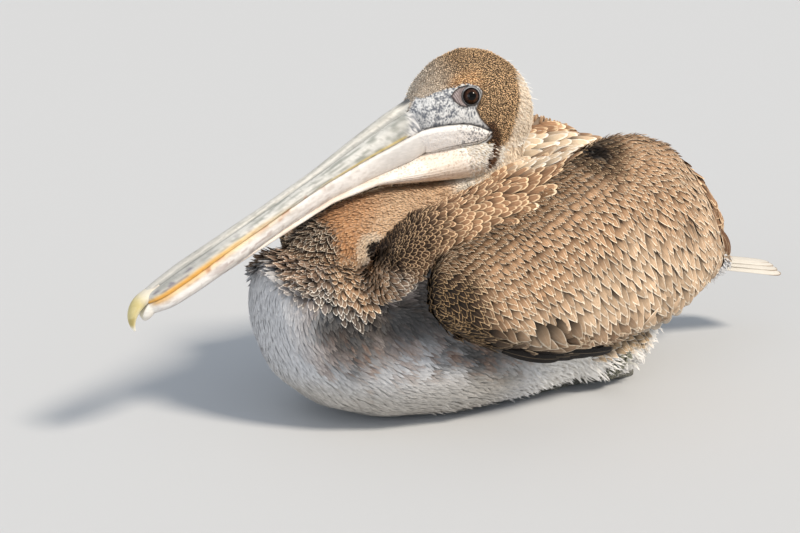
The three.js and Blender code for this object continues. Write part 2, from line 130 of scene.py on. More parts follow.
class Wire:  # wraps a shader socket, so that sums read as sums
    def __init__(self, tree, socket=None):
        self.tree, self.socket = tree, socket

    def add(self, kind, settings=None, sockets=None, out=0):
        node = self.tree.nodes.new(kind)
        for key, value in (settings or {}).items():
            setattr(node, key, value)
        for key, value in (sockets or {}).items():
            if isinstance(value, Wire):
                self.tree.links.new(value.socket, node.inputs[key])
            else:
                node.inputs[key].default_value = value
        return Wire(self.tree, node.outputs[out] if len(node.outputs) else None)

    def math(self, operation, *values):
        return self.add("ShaderNodeMath", {"operation": operation}, dict(enumerate(values)))

    def __add__(self, other):
        return self.math("ADD", self, other)

    def __radd__(self, other):
        return self.math("ADD", other, self)

    def __sub__(self, other):
        return self.math("SUBTRACT", self, other)

    def __rsub__(self, other):
        return self.math("SUBTRACT", other, self)

    def __mul__(self, other):
        return self.math("MULTIPLY", self, other)

    def __rmul__(self, other):
        return self.math("MULTIPLY", other, self)

    def __abs__(self):
        return self.math("ABSOLUTE", self)

    def ramp(self, low, high):  # 0 below low, 1 above high, smooth between
        return self.add("ShaderNodeMapRange", {"interpolation_type": "SMOOTHSTEP"},
                        {0: self, 1: low, 2: high, 3: 0.0, 4: 1.0})

    def mix(self, first, second):  # two colours by this share
        first = first if isinstance(first, Wire) else (*first, 1)
        second = second if isinstance(second, Wire) else (*second, 1)
        return self.add("ShaderNodeMix", {"data_type": "RGBA"}, {0: self, 6: first, 7: second}, 2)

    def shade(self, share):  # this colour times a grey number
        grey = self.add("ShaderNodeCombineColor", None, {0: share, 1: share, 2: share})
        return self.add("ShaderNodeMix", {"data_type": "RGBA", "blend_type": "MULTIPLY"},
                        {0: 1.0, 6: self, 7: grey}, 2)

    def noise(self, place, scale, detail=2.0):
        return self.add("ShaderNodeTexNoise", None, {"Vector": place, "Scale": scale, "Detail": detail})

    def place(self, stretch=(1, 1, 1), turn=(0, 0, 0)):
        spot = self.add("ShaderNodeTexCoord", out=3)
        return self.add("ShaderNodeMapping", None, {0: spot, 2: turn, 3: stretch})


def newFinish(name):
    finish = bpy.data.materials.new(name)
    finish.use_nodes = True
    finish.node_tree.nodes.clear()
    return finish, Wire(finish.node_tree)


def closeFinish(wire, colour, roughness=0.6, height=None, depth=0.0003, **fixed):
    sockets = {"Base Color": colour, "Roughness": roughness}
    if height is not None:
        bump = {"Strength": 1.0, "Distance": depth, "Height": height}
        sockets["Normal"] = wire.add("ShaderNodeBump", None, bump)
    shader = wire.add("ShaderNodeBsdfPrincipled", None, {**sockets, **fixed})
    wire.add("ShaderNodeOutputMaterial", None, {0: shader})


def attribute(wire, name):
    return wire.add("ShaderNodeAttribute", {"attribute_name": name})


def makeMesh(name, points, loops, sizes):
    mesh = bpy.data.meshes.new(name)
    mesh.vertices.add(len(points))
    mesh.vertices.foreach_set("co", np.asarray(points, np.float32).ravel())
    mesh.loops.add(len(loops))
    mesh.loops.foreach_set("vertex_index", np.asarray(loops, np.int32))
    mesh.polygons.add(len(sizes))
    starts = np.concatenate([[0], np.cumsum(sizes)[:-1]]).astype(np.int32)
    mesh.polygons.foreach_set("loop_start", starts)
    mesh.polygons.foreach_set("use_smooth", np.full(len(sizes), True))
    mesh.update(calc_edges=True)
    mesh.validate()
    piece = bpy.data.objects.new(name, mesh)
    bpy.context.scene.collection.objects.link(piece)
    return piece


def setColour(piece, name, colours):
    layer = piece.data.attributes.new(name, "FLOAT_COLOR", "POINT")
    full = np.ones((len(colours), 4), np.float32)
    full[:, :3] = colours
    layer.data.foreach_set("color", full.ravel())


def pointsOf(piece):
    points = np.empty(len(piece.data.vertices) * 3, np.float32)
    piece.data.vertices.foreach_get("co", points)
    return points.reshape(-1, 3).astype(float)


def trianglesOf(piece):
    piece.data.calc_loop_triangles()
    corners = np.empty(len(piece.data.loop_triangles) * 3, np.int32)
    piece.data.loop_triangles.foreach_get("vertices", corners)
    return corners.reshape(-1, 3)


def vertexNormals(points, triangles):
    a, b, c = (points[triangles[:, i]] for i in range(3))
    flat = np.cross(b - a, c - a)
    total = np.zeros_like(points)
    for i in range(3):
        np.add.at(total, triangles[:, i], flat)
    return unit(total)


def finished(piece, material, replaced=()):
    piece.data.materials.clear()
    piece.data.materials.append(material)
    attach(piece, "root")
    if replaced:
        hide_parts(*replaced)
    return piece


def shadeSmooth(piece):
    piece.data.polygons.foreach_set("use_smooth", np.full(len(piece.data.polygons), True))


def gridFaces(rows, columns, wrap=False):
    # quads of a grid of points, rows of columns, closed round if wrap is set
    r = np.arange(rows - 1)[:, None]
    c = np.arange(columns if wrap else columns - 1)[None, :]
    after = (c + 1) % columns
    quads = np.stack([r * columns + c, r * columns + after, (r + 1) * columns + after,
                      (r + 1) * columns + c], -1)
    return quads.reshape(-1, 4)


def tubeMesh(name, rings):  # rings is rows x columns x 3, closed at both ends
    rows, columns = rings.shape[:2]
    points = rings.reshape(-1, 3)
    loops = [gridFaces(rows, columns, wrap=True).ravel()]
    sizes = [np.full((rows - 1) * columns, 4)]
    ends = np.array([rings[0].mean(0), rings[-1].mean(0)])
    first = len(points)
    points = np.vstack([points, ends])
    order = np.arange(columns)
    loops.append(np.stack([np.full(columns, first), (order + 1) % columns, order], -1).ravel())
    base = (rows - 1) * columns
    last = [np.full(columns, first + 1), base + order, base + (order + 1) % columns]
    loops.append(np.stack(last, -1).ravel())
    sizes.append(np.full(2 * columns, 3))
    return makeMesh(name, points, np.concatenate(loops), np.concatenate(sizes))


def smoothed(values, width):  # running mean that keeps the ends
    padded = np.concatenate([np.full(width, values[0]), values, np.full(width, values[-1])])
    kernel = np.hanning(2 * width + 1)
    return np.convolve(padded, kernel / kernel.sum(), "same")[width:-width]


# The skin: one closed surface over all the flesh, a coat's depth inside it.
skin = {
    "nodes": ["trunk", "head", "neck_upper", "neck_back_bend", "neck_middle", "neck_front_bend",
              "shoulder_left", "shoulder_right", "wing_left", "wing_right", "thigh_left", "thigh_right"],
    "voxel": 3.35 * mm,
    "coatDepth": {"head": 1.3 * mm, "neck": 2.0 * mm, "wing": 3.2 * mm, "shoulder": 3.2 * mm,
                  "trunk": 3.4 * mm, "thigh": 3.4 * mm},
    "backSink": 4.0 * mm, "nodeSwell": 0.8 * mm, "under": 0.6 * mm, "floor": 0.3 * mm, "softening": 8,
    "easing": 30,
}


def joinedNodes(name, nodes, grow):
    whole = bmesh.new()
    for node in nodes:
        part = bmesh.new()
        part.from_mesh(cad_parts[node].data)
        bmesh.ops.remove_doubles(part, verts=part.verts, dist=1e-5)
        part.normal_update()
        for vertex in part.verts:
            vertex.co += vertex.normal * grow
        held = bpy.data.meshes.new("held")
        part.to_mesh(held)
        whole.from_mesh(held)
        bpy.data.meshes.remove(held)
        part.free()
    mesh = bpy.data.meshes.new(name)
    whole.to_mesh(mesh)
    whole.free()
    piece = bpy.data.objects.new(name, mesh)
    bpy.context.scene.collection.objects.link(piece)
    return piece


def remeshed(piece, voxel, smoothing):
    remesh = piece.modifiers.new("even", "REMESH")
    remesh.mode, remesh.voxel_size = "VOXEL", voxel
    soften = piece.modifiers.new("soften", "SMOOTH")
    soften.factor, soften.iterations = 0.5, smoothing
    graph = bpy.context.evaluated_depsgraph_get()
    mesh = bpy.data.meshes.new_from_object(piece.evaluated_get(graph))
    piece.modifiers.clear()
    piece.data = mesh
    return piece


def keepLargest(piece):  # drops the loose bits that are not joined to the main surface
    net = bmesh.new()
    net.from_mesh(piece.data)
    net.verts.ensure_lookup_table()
    seen, groups = set(), []
    for start in net.verts:
        if start.index in seen:
            continue
        group, todo = [], [start]
        seen.add(start.index)
        while todo:
            vertex = todo.pop()
            group.append(vertex)
            for edge in vertex.link_edges:
                other = edge.other_vert(vertex)
                if other.index not in seen:
                    seen.add(other.index)
                    todo.append(other)
        groups.append(group)
    groups.sort(key=len, reverse=True)
    for group in groups[1:]:
        bmesh.ops.delete(net, geom=group, context="VERTS")
    net.to_mesh(piece.data)
    net.free()


skinPiece = remeshed(joinedNodes("skin", skin["nodes"], skin["nodeSwell"]), skin["voxel"], skin["softening"])
keepLargest(skinPiece)

# Which node each place belongs to.
nodeNames, nodePoints, nodeFaces, nodeOwner = skin["nodes"], [], [], []
for index, node in enumerate(nodeNames):
    points = pointsOf(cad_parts[node])
    corners = trianglesOf(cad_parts[node])
    nodeFaces.append(corners + sum(len(p) for p in nodePoints))
    nodePoints.append(points)
    nodeOwner += [index] * len(corners)
nodeOwner = np.array(nodeOwner)
nodeTree = BVHTree.FromPolygons(np.vstack(nodePoints).tolist(), np.vstack(nodeFaces).tolist())


def ownerOf(places):
    return np.array([nodeOwner[nodeTree.find_nearest(p)[2]] for p in places.tolist()])


def isNode(owners, *starts):
    wanted = [i for i, node in enumerate(nodeNames) if node.startswith(starts)]
    return np.isin(owners, wanted)


# Face: outline of the bare skin and the lines in it, as (y, z) on the left side.
face = {
    "bare": [(-112, 262), (-98.4, 275), (-94.6, 272.6), (-86, 277), (-77.6, 280.3), (-69.9, 282.3),
             (-62, 284.2), (-54, 284.4), (-46, 281.6), (-42, 276), (-46.4, 269), (-48.6, 262), (-44.6, 254.4),
             (-38, 248), (-30.5, 241.5), (-29, 236), (-33, 230.5), (-41, 227.6), (-57.8, 226.6), (-71, 224),
             (-90, 220), (-112, 240)],
    "mouth": [(-106, 242.6), (-100, 244.6), (-87.7, 247.8), (-74.8, 249.4), (-63, 249.8), (-53.4, 248.8),
              (-42, 245.4), (-31.5, 241)],
    "jaw": [(-100, 216.5), (-84, 221.5), (-71, 225.4), (-57.8, 227.6), (-41, 229.4), (-34, 232.5),
            (-30.5, 238)],
    "opening": [(-71.5, 274.4), (-68, 278.6), (-63.5, 281.2), (-56, 282.3), (-48.8, 280.6), (-44.6, 276.4),
                (-46.2, 271.6), (-50.4, 267.2), (-57.4, 264.4), (-63.4, 265.8), (-68.6, 269.8)],
    "mouthDepth": 1.6 * mm, "jawDepth": 1.3 * mm, "foldDepth": 0.7 * mm, "jawSwell": 1.5 * mm,
    "lidSwell": 1.0 * mm, "lidDepth": 0.9 * mm, "wrinkleDepth": 0.34 * mm * 2.2, "ropeSwell": 0.55 * mm,
    "cuts": 4, "smoothing": 6, "yBounds": (-0.108, -0.022), "zBounds": (0.214, 0.292),
}
eye = {
    "centre": np.array([24.3, -51.3, 272.8]) * mm,
    "radius": 8.5 * mm,
    "look": np.array([0.896, -0.408, 0.174]),
    "pupil": 3.5 * mm,
    "iris": 6.6 * mm,
    "rim": 7.1, "rimSlope": 0.45, "rimStep": 0.45, "socket": 2.6,  # millimetres
    "irisTone": "43291a", "rayTone": "1c100a", "pupilTone": "030202", "edgeTone": "140c09",
    "bulge": 0.05, "bulgeAngle": 0.62, "rings": 90, "sides": 72,
}


def faceSpot(places):  # a place on either side as (y, z) in millimetres
    return places[:, 1:] / mm


def onHead(places):
    return (places[:, 2] > 0.205) & (places[:, 1] < 0.03)


def bareShare(places):
    spot = faceSpot(places)
    inside = insideOutline(spot, face["bare"])
    away, _ = toLine(spot, face["bare"] + face["bare"][:1])
    side = step(3, 9, np.abs(places[:, 0]) / mm)
    return step(-0.7, 0.7, np.where(inside, away, -away)) * side


def discOf(places):  # distance from the axis that the eye looks along
    rel = leftSide(places) - eye["centre"]
    look = unit(eye["look"])
    along = rel @ look
    return np.linalg.norm(rel - along[:, None] * look, axis=1), along


def faceFolds(places):  # pale ridges of the wrinkled skin, from 0 to 1, spreading from the eye
    spot = faceSpot(places)
    rel = spot - [eye["centre"][1] / mm - 3, eye["centre"][2] / mm + 1]
    reach = np.hypot(rel[:, 0], rel[:, 1])
    bend = 1.2 * (mottle(places, 7 * mm, 3) - 0.5)
    ray = np.stack([np.arctan2(rel[:, 1], rel[:, 0]) * 11 + bend, reach * 0.22, np.zeros(len(reach))], 1)
    spokes = 1 - np.abs(2 * mottle(ray, 1.0, 5) - 1)
    flakes = 1 - np.abs(2 * mottle(places * [1, 1.7, 1], 2.3 * mm, 11) - 1)
    fine = mottle(places * [1, 1.5, 1], 1.1 * mm, 12)
    under = step(270, 262, spot[:, 1]) * step(-84, -72, spot[:, 0])
    return np.clip((0.42 + 0.33 * under) * spokes + (0.42 - 0.27 * under) * flakes + 0.55 * fine - 0.22, 0, 1)


def jawRope(spot):  # small slanting folds in a narrow band above the jaw line
    away, _ = toLine(spot, face["jaw"])
    above = spot[:, 1] > np.interp(spot[:, 0], *np.transpose(face["jaw"][:-1]))
    band = near(away - 1.9, 1.0) * above * step(-84, -76, spot[:, 0])
    return band * (0.35 + 0.65 * np.sin(spot[:, 0] * 3.3 + away * 1.6))


def refineFace(piece):  # a finer mesh where the skin is bare
    net = bmesh.new()
    net.from_mesh(piece.data)
    (yLow, yHigh), (zLow, zHigh) = face["yBounds"], face["zBounds"]
    middles = [(f, f.calc_center_median()) for f in net.faces]
    inside = [(f, m) for f, m in middles if yLow < m.y < yHigh and zLow < m.z < zHigh and abs(m.x) > 0.004]
    spot = np.array([m[1:] for _, m in inside]) / mm
    away, _ = toLine(spot, face["bare"] + face["bare"][:1])
    keep = insideOutline(spot, face["bare"]) | (away < 4.5)
    chosen = [f for (f, _), wanted in zip(inside, keep) if wanted]
    edges = list({e for f in chosen for e in f.edges})
    made = bmesh.ops.subdivide_edges(net, edges=edges, cuts=face["cuts"], use_grid_fill=True)
    fine = [g for g in made["geom"] if isinstance(g, bmesh.types.BMVert)]
    for _ in range(face["smoothing"]):
        bmesh.ops.smooth_vert(net, verts=fine, factor=0.5, use_axis_x=True, use_axis_y=True, use_axis_z=True)
    net.to_mesh(piece.data)
    net.free()


def seatEyes(points, side):  # lays the skin against the eyeball: a rim close round it, and a socket behind it
    look = unit(eye["look"])
    disc, along = (value / mm for value in discOf(points))
    ball = eye["radius"] / mm
    surfaceLine = np.sqrt(np.clip(ball ** 2 - disc ** 2, 0, None))
    rimLine = math.sqrt(ball ** 2 - eye["rim"] ** 2) + eye["rimStep"] - eye["rimSlope"] * (disc - eye["rim"])
    rimLine += 0.35 * near(disc - eye["rim"] - 0.5, 0.45)
    rise = step(eye["rim"] - 0.5, eye["rim"], disc)
    wanted = surfaceLine - eye["socket"] + (rimLine - surfaceLine + eye["socket"]) * rise
    share = step(11.8, 8.0, disc) * side * (along > -5)
    turned = look * np.stack([np.sign(points[:, 0]), np.ones(len(points)), np.ones(len(points))], 1)
    return points + turned * ((wanted - along) * share * mm)[:, None]


def shapeFace(points, normals):
    spot = faceSpot(points)
    side = onHead(points) * step(4, 10, np.abs(points[:, 0]) / mm)
    bare = bareShare(points) * onHead(points)
    mouthAway, _ = toLine(spot, face["mouth"])
    jawAway, _ = toLine(spot, face["jaw"])
    shift = -0.5 * mm * bare
    shift -= face["mouthDepth"] * near(mouthAway, 0.85) * side
    shift -= face["jawDepth"] * near(jawAway, 0.9) * side
    shift -= face["foldDepth"] * near(jawAway - 3.4, 0.6) * side * (spot[:, 1] < 230)
    between = insideOutline(spot, face["mouth"] + face["jaw"][::-1])
    jawBand = between * step(0, 5, np.minimum(mouthAway, jawAway))
    shift += face["jawSwell"] * jawBand * side
    # lids: a rim along the opening, flesh at its front corner, and a ring close round the eyeball
    disc = discOf(points)[0] / mm
    openAway, _ = toLine(spot, face["opening"] + face["opening"][:1])
    opened = insideOutline(spot, face["opening"])
    shift += face["lidSwell"] * near(openAway - 0.9, 0.9) * side * ~opened
    shift -= face["lidDepth"] * near(openAway, 0.55) * side
    calm = 1 - 0.8 * jawBand * step(-48, -62, spot[:, 1])
    shift += face["wrinkleDepth"] * (faceFolds(points) - 0.5) * bare * calm * step(7.9, 9.5, disc)
    shift += face["ropeSwell"] * jawRope(spot) * side  # small folds along the jaw
    return seatEyes(points + normals * shift[:, None], side)


# Dark hollows: dimples pressed into the skin behind the elbow and beside the neck, and painted shade in them
# and at the front of the shoulder.
hollow = {
    "elbow": np.array([91, 32, 226]) * mm, "elbowRadius": 7 * mm, "elbowDepth": 7 * mm,
    "neck": np.array([38, -155, 152]) * mm, "neckRadius": 8.5 * mm, "neckDepth": 5 * mm,
    "shoulder": np.array([60, -160, 159]) * mm, "shoulderRadius": 17 * mm,
}
refineFace(skinPiece)
skinPoints = pointsOf(skinPiece)
skinCorners = trianglesOf(skinPiece)
skinNormals = vertexNormals(skinPoints, skinCorners)
skinOwner = ownerOf(skinPoints)
depth = np.zeros(len(skinPoints))
for start, amount in skin["coatDepth"].items():
    depth[isNode(skinOwner, start)] = amount
# the long feathers beside the neck stand high, so the skin under them lies lower
x, y, z = measures(skinPoints)
depth += (skin["backSink"] * isNode(skinOwner, "shoulder") * step(-140, -90, y) * step(120, 70, y)
          * step(150, 175, z) * step(84, 70, x))
depth += 0.9 * skin["backSink"] * isNode(skinOwner, "wing_right") * step(200, 215, z) * step(20, 60, y)
neighbours = np.vstack([skinCorners[:, [0, 1]], skinCorners[:, [1, 2]], skinCorners[:, [2, 0]]])
for _ in range(skin["easing"]):  # the depth changes gradually from part to part
    total = np.zeros(len(depth))
    count = np.zeros(len(depth))
    for a, b in ((0, 1), (1, 0)):
        np.add.at(total, neighbours[:, a], depth[neighbours[:, b]])
        np.add.at(count, neighbours[:, a], 1)
    depth = total / count
depth += skin["under"]
skinPoints = skinPoints - skinNormals * depth[:, None]
skinNormals = vertexNormals(skinPoints, skinCorners)
skinPoints = shapeFace(skinPoints, skinNormals)
for place, stretch in (("elbow", [1, 0.7, 1]), ("neck", [1, 1, 1])):
    away = np.linalg.norm((leftSide(skinPoints) - hollow[place]) * stretch, axis=1)
    skinPoints -= skinNormals * (hollow[f"{place}Depth"] * near(away, hollow[f"{place}Radius"]))[:, None]
skinPoints[:, 2] = np.maximum(skinPoints[:, 2], skin["floor"])
skinNormals = vertexNormals(skinPoints, skinCorners)
skinPiece.data.vertices.foreach_set("co", skinPoints.astype(np.float32).ravel())
skinPiece.data.update()
shadeSmooth(skinPiece)
print("skin made with", len(skinCorners), "triangles")


class Surface:  # the skin as the place that feathers grow from and lie along
    def __init__(self, points, corners, normals):
        self.points, self.corners = points, corners
        self.tree = BVHTree.FromPolygons(points.tolist(), corners.tolist())
        self.faceNormals = unit(normals[corners].sum(1))
        self.centres = points[corners].mean(1)
        a, b, c = (points[corners[:, i]] for i in range(3))
        self.areas = np.linalg.norm(np.cross(b - a, c - a), axis=1) / 2

    def nearest(self, places):
        spots = np.empty((len(places), 3))
        faces = np.empty(len(places), int)
        find = self.tree.find_nearest
        for i, place in enumerate(places.tolist()):
            spot, _, index, _ = find(place)
            spots[i] = spot
            faces[i] = index
        return spots, self.faceNormals[faces], faces


surface = Surface(skinPoints, skinCorners, skinNormals)
faceOwner = ownerOf(surface.centres)

sowing = {"tries": 3.2, "closest": 0.92, "besideTaken": 0.8}  # closest as shares of the spacing


def scatter(keep, spacing, seed, taken=None):
    # roots spread evenly over the faces in keep, spacing apart, clear of those in taken
    draw = np.random.default_rng(seed)
    chosen = np.flatnonzero(keep)
    apart = spacing(surface.centres[chosen])
    wanted = surface.areas[chosen] / apart ** 2 * sowing["tries"]
    count = int(wanted.sum())
    picks = chosen[draw.choice(len(chosen), count, p=wanted / wanted.sum())]
    r, s = np.sqrt(draw.random(count)), draw.random(count)
    a, b, c = (surface.points[surface.corners[picks, i]] for i in range(3))
    places = a * (1 - r)[:, None] + b * (r * (1 - s))[:, None] + c * (r * s)[:, None]
    gaps = spacing(places) * sowing["closest"]
    cell = gaps.max()
    grid, kept = {}, []
    if taken is not None:
        takenGaps = taken[1] * sowing["besideTaken"]
        cell = max(cell, takenGaps.max())
        for place, gap in zip(taken[0].tolist(), takenGaps.tolist()):
            key = tuple(math.floor(x / cell) for x in place)
            grid.setdefault(key, []).append((*place, gap))
    beside = list(product((-1, 0, 1), repeat=3))
    for i, ((x, y, z), gap) in enumerate(zip(places.tolist(), gaps.tolist())):
        kx, ky, kz = math.floor(x / cell), math.floor(y / cell), math.floor(z / cell)
        others = (other for dx, dy, dz in beside for other in grid.get((kx + dx, ky + dy, kz + dz), ()))
        if all((ox - x) ** 2 + (oy - y) ** 2 + (oz - z) ** 2 >= min(gap, away) ** 2
               for ox, oy, oz, away in others):
            grid.setdefault((kx, ky, kz), []).append((x, y, z, gap))
            kept.append(i)
    return places[kept], surface.faceNormals[picks[kept]], faceOwner[picks[kept]]


vane = {  # shapes of a vane: how far along each row lies and its half width there
    "scale": {"rows": [0, 0.35, 0.62, 0.82, 1], "half": [0.5, 0.88, 1.0, 0.66, 0], "columns": 3},
    "covert": {"rows": [0, 0.24, 0.44, 0.61, 0.77, 0.9, 1], "half": [0.5, 0.86, 1.0, 0.88, 0.6, 0.28, 0],
               "columns": 5},
    "round": {"rows": [0, 0.3, 0.55, 0.74, 0.88, 0.96, 1], "half": [0.45, 0.84, 1.0, 0.95, 0.72, 0.42, 0],
              "columns": 5},
    "tuft": {"rows": [0, 0.4, 0.75, 1], "half": [0.6, 1.0, 0.7, 0], "columns": 3},
    "speck": {"rows": [0, 0.55, 1], "half": [0.35, 1.0, 0], "columns": 3},
}

# What a vane has unless its coat says otherwise: angles in degrees, uneven and ruffle as shares.
vaneLook = {"turn": 6, "uneven": 0.08, "ruffle": 0.25, "twist": 5, "follow": 0.8, "power": 1.2, "camber": 0.18,
            "flat": False, "ground": 0.0004, "patch": (0.0014, 0.0028)}


def layFeathers(name, roots, normals, lie, length, width, tones, rims, look, seed, unwrap):
    # one joined mesh of vanes, each bent along the skin under it
    look = {**vaneLook, **look}
    draw = np.random.default_rng(seed)
    shape = vane[look["shape"]]
    rows, half = np.array(shape["rows"]), np.array(shape["half"])
    columns = shape["columns"]
    count, rowCount = len(roots), len(rows)
    turn = np.radians(look["turn"]) * draw.standard_normal(count)
    length = length * (1 + look["uneven"] * draw.standard_normal(count))
    ruffle = 1 + look["ruffle"] * draw.standard_normal(count)
    twist = np.radians(look["twist"]) * draw.standard_normal(count)
    chance = draw.random(count)
    ahead = unit(lie - normals * dot(lie, normals)[:, None])
    side = np.cross(ahead, normals)
    ahead = ahead * np.cos(turn)[:, None] + side * np.sin(turn)[:, None]
    place, up = roots.copy(), normals.copy()
    spine, ups, heads = [place.copy()], [up.copy()], [ahead.copy()]
    for i in range(1, rowCount):
        moved = place + ahead * (length * (rows[i] - rows[i - 1]))[:, None]
        if look["flat"] or (i == rowCount - 1 and rows[i] - rows[i - 1] < 0.13):
            nextUp = up
        else:
            spot, found, _ = surface.nearest(moved)
            gap = dot(moved - spot, found)
            pull = np.where(gap > 0, look["follow"], 1.0)[:, None]
            moved = moved + (spot - moved) * pull
            nextUp = unit(up * (1 - pull) + found * pull)
        ahead = unit(moved - place)
        ahead = unit(ahead - nextUp * dot(ahead, nextUp)[:, None])
        place, up = moved, nextUp
        spine.append(place.copy())
        ups.append(up.copy())
        heads.append(ahead.copy())
    spine, ups, heads = (np.stack(x, 1) for x in (spine, ups, heads))
    low, high = look["rootHeight"], look["tipHeight"] * ruffle[:, None]
    rise = low + (high - low) * rows ** look["power"]
    edges = unit(np.cross(heads, ups) + ups * np.tan(twist)[:, None, None])
    across = np.linspace(-1, 1, columns)
    wide = (width[:, None] / 2) * half[None, :]
    body = spine + ups * rise[:, :, None]
    points = (body[:, :, None, :] + edges[:, :, None, :] * (wide[:, :, None] * across)[..., None]
              + ups[:, :, None, :] * (look["camber"] * wide[:, :, None] * (0.6 - across ** 2))[..., None])
    points = points.reshape(count, rowCount * columns, 3)
    last = (rowCount - 1) * columns
    points = np.concatenate([points[:, :last], points[:, last + columns // 2][:, None]], 1)
    per = last + 1
    quads = gridFaces(rowCount - 1, columns)
    base = (rowCount - 2) * columns
    fan = np.array([[base + i, base + i + 1, last] for i in range(columns - 1)])
    offsets = (np.arange(count) * per)[:, None]
    loops = np.concatenate([(quads.ravel()[None] + offsets), (fan.ravel()[None] + offsets)], 1).ravel()
    sizes = np.tile(np.concatenate([np.full(len(quads), 4), np.full(len(fan), 3)]), count)
    flatPoints = points.reshape(-1, 3)
    flatPoints[:, 2] = np.maximum(flatPoints[:, 2], look["ground"])
    piece = makeMesh(name, flatPoints, loops, sizes)
    along = np.concatenate([np.repeat(rows[:-1], columns), [1.0]])
    spread = np.concatenate([np.tile(across, rowCount - 1), [0.0]])
    setColour(piece, "tone", np.repeat(tones, per, 0))
    setColour(piece, "rim", np.repeat(rims, per, 0))
    lieMap = np.stack([np.tile(along, count), np.tile(spread * 0.5 + 0.5, count), np.repeat(chance, per)], 1)
    setColour(piece, "lie", lieMap)
    # each vane has its own small patch of the map, at its root's place on the unrolled skin
    patch = unwrap(roots)
    wideOnMap, longOnMap = look["patch"]
    mapPlaces = np.repeat(patch, per, 0) + np.stack([np.tile(spread, count) * wideOnMap,
                                                     (np.tile(along, count) - 0.5) * longOnMap], 1)
    layer = piece.data.uv_layers.new(name="OFBake")
    corners = np.empty(len(piece.data.loops), np.int32)
    piece.data.loops.foreach_get("vertex_index", corners)
    layer.data.foreach_set("uv", mapPlaces[corners].astype(np.float32).ravel())
    print(name, count, "vanes,", len(sizes) * 2 - len(fan) * count, "triangles")
    return piece


def unrolled(middle, low, high):
    # places as length along y and the angle round a line along y through middle
    def unwrap(places):
        u = (places[:, 1] - low) / (high - low)
        angle = np.arctan2(places[:, 0] - middle[0], places[:, 2] - middle[1])
        return np.stack([0.03 + 0.94 * np.clip(u, 0, 1), 0.5 + 0.47 * angle / math.pi], 1)
    return unwrap


# Plumage colours: each is the vane's colour and the colour of its rim. Most are the feathers' own; some of the
# darker ones carry painted shade, as said where they are laid.
plumage = {
    "neck": ("cd976b", "edc196"), "neckPale": ("f2cda6", "fde6ca"), "neckDark": ("7d5232", "a8784e"),
    "crown": ("452e1c", "ecc597"), "crownPale": ("dcc4aa", "fff8ea"), "buff": ("b57c4a", "f4cf9f"),
    "cheek": ("38251a", "6b4c36"), "nape": ("ffe8cb", "fff3e2"), "throat": ("fff6e6", "fffdf8"),
    "collar": ("5e4a3b", "f7e8d2"), "collarTip": ("7d7066", "fffaf0"), "scapularFront": ("3c2a1f", "d8b48c"),
    "scapular": ("a37c5d", "f3d3ac"), "scapularLong": ("e6cfb2", "fff6e8"), "back": ("b08a6c", "ecd0ac"),
    "leading": ("8c694a", "ffe8c8"), "covert": ("bc9573", "fdeace"), "covertLow": ("d2b495", "fff0da"),
    "wrist": ("3a291d", "dcbb91"), "secondary": ("c4b5a3", "f6ead6"), "primary": ("1c1613", "a8957e"),
    "tertial": ("7a573c", "e6cba8"), "belly": ("c9cacd", "dcdcdd"), "smudge": ("84695a", "ae9989"),
    "flank": ("262321", "504b46"), "white": ("f3f0eb", "fdfbf8"), "rump": ("a48d78", "d6c5b2"),
    "lobe": ("d3b591", "fdf3e2"), "tailVane": ("e2ddd4", "8a6e50"), "hollow": ("1c130d", "3a2a1e"),
    "shade": ("2a1e16", "745a42"), "front": ("1e1510", "a98a63"), "hock": ("7f8171", "e4e0cf"),
    "warmShade": ("bfb8ad", "d2cbc0"),
}
plumage = {key: (paint(a), paint(b)) for key, (a, b) in plumage.items()}


def collarEdge(places):  # level at which the brown collar ends and the pale belly starts
    x, y, _ = measures(places)
    front = np.interp(x, [0, 22, 37, 55, 65, 76, 90], [147, 138, 129, 120, 111, 104, 101])
    side = np.interp(y, [-200, -188, -171, -152, -141, -120, -90], [95, 107, 125, 143, 151, 167, 182])
    return np.maximum(front, side) * mm


def lobeShare(places):  # brown feathers of the flank that hang out below the wing
    x, y, z = measures(places)
    return step(26, 38, y) * step(112, 100, y) * step(39, 45, z) * step(58, 66, x)


def hockShare(places):  # the barred place where the hock shows through the flank's fluff
    x, y, z = measures(places)
    middle, half = 74 - (44 - z) * 0.45, 6 + (44 - z) * 0.2
    return step(half + 1, half - 1, np.abs(y - middle)) * step(7, 10, z) * step(46, 43, z) * step(56, 62, x)


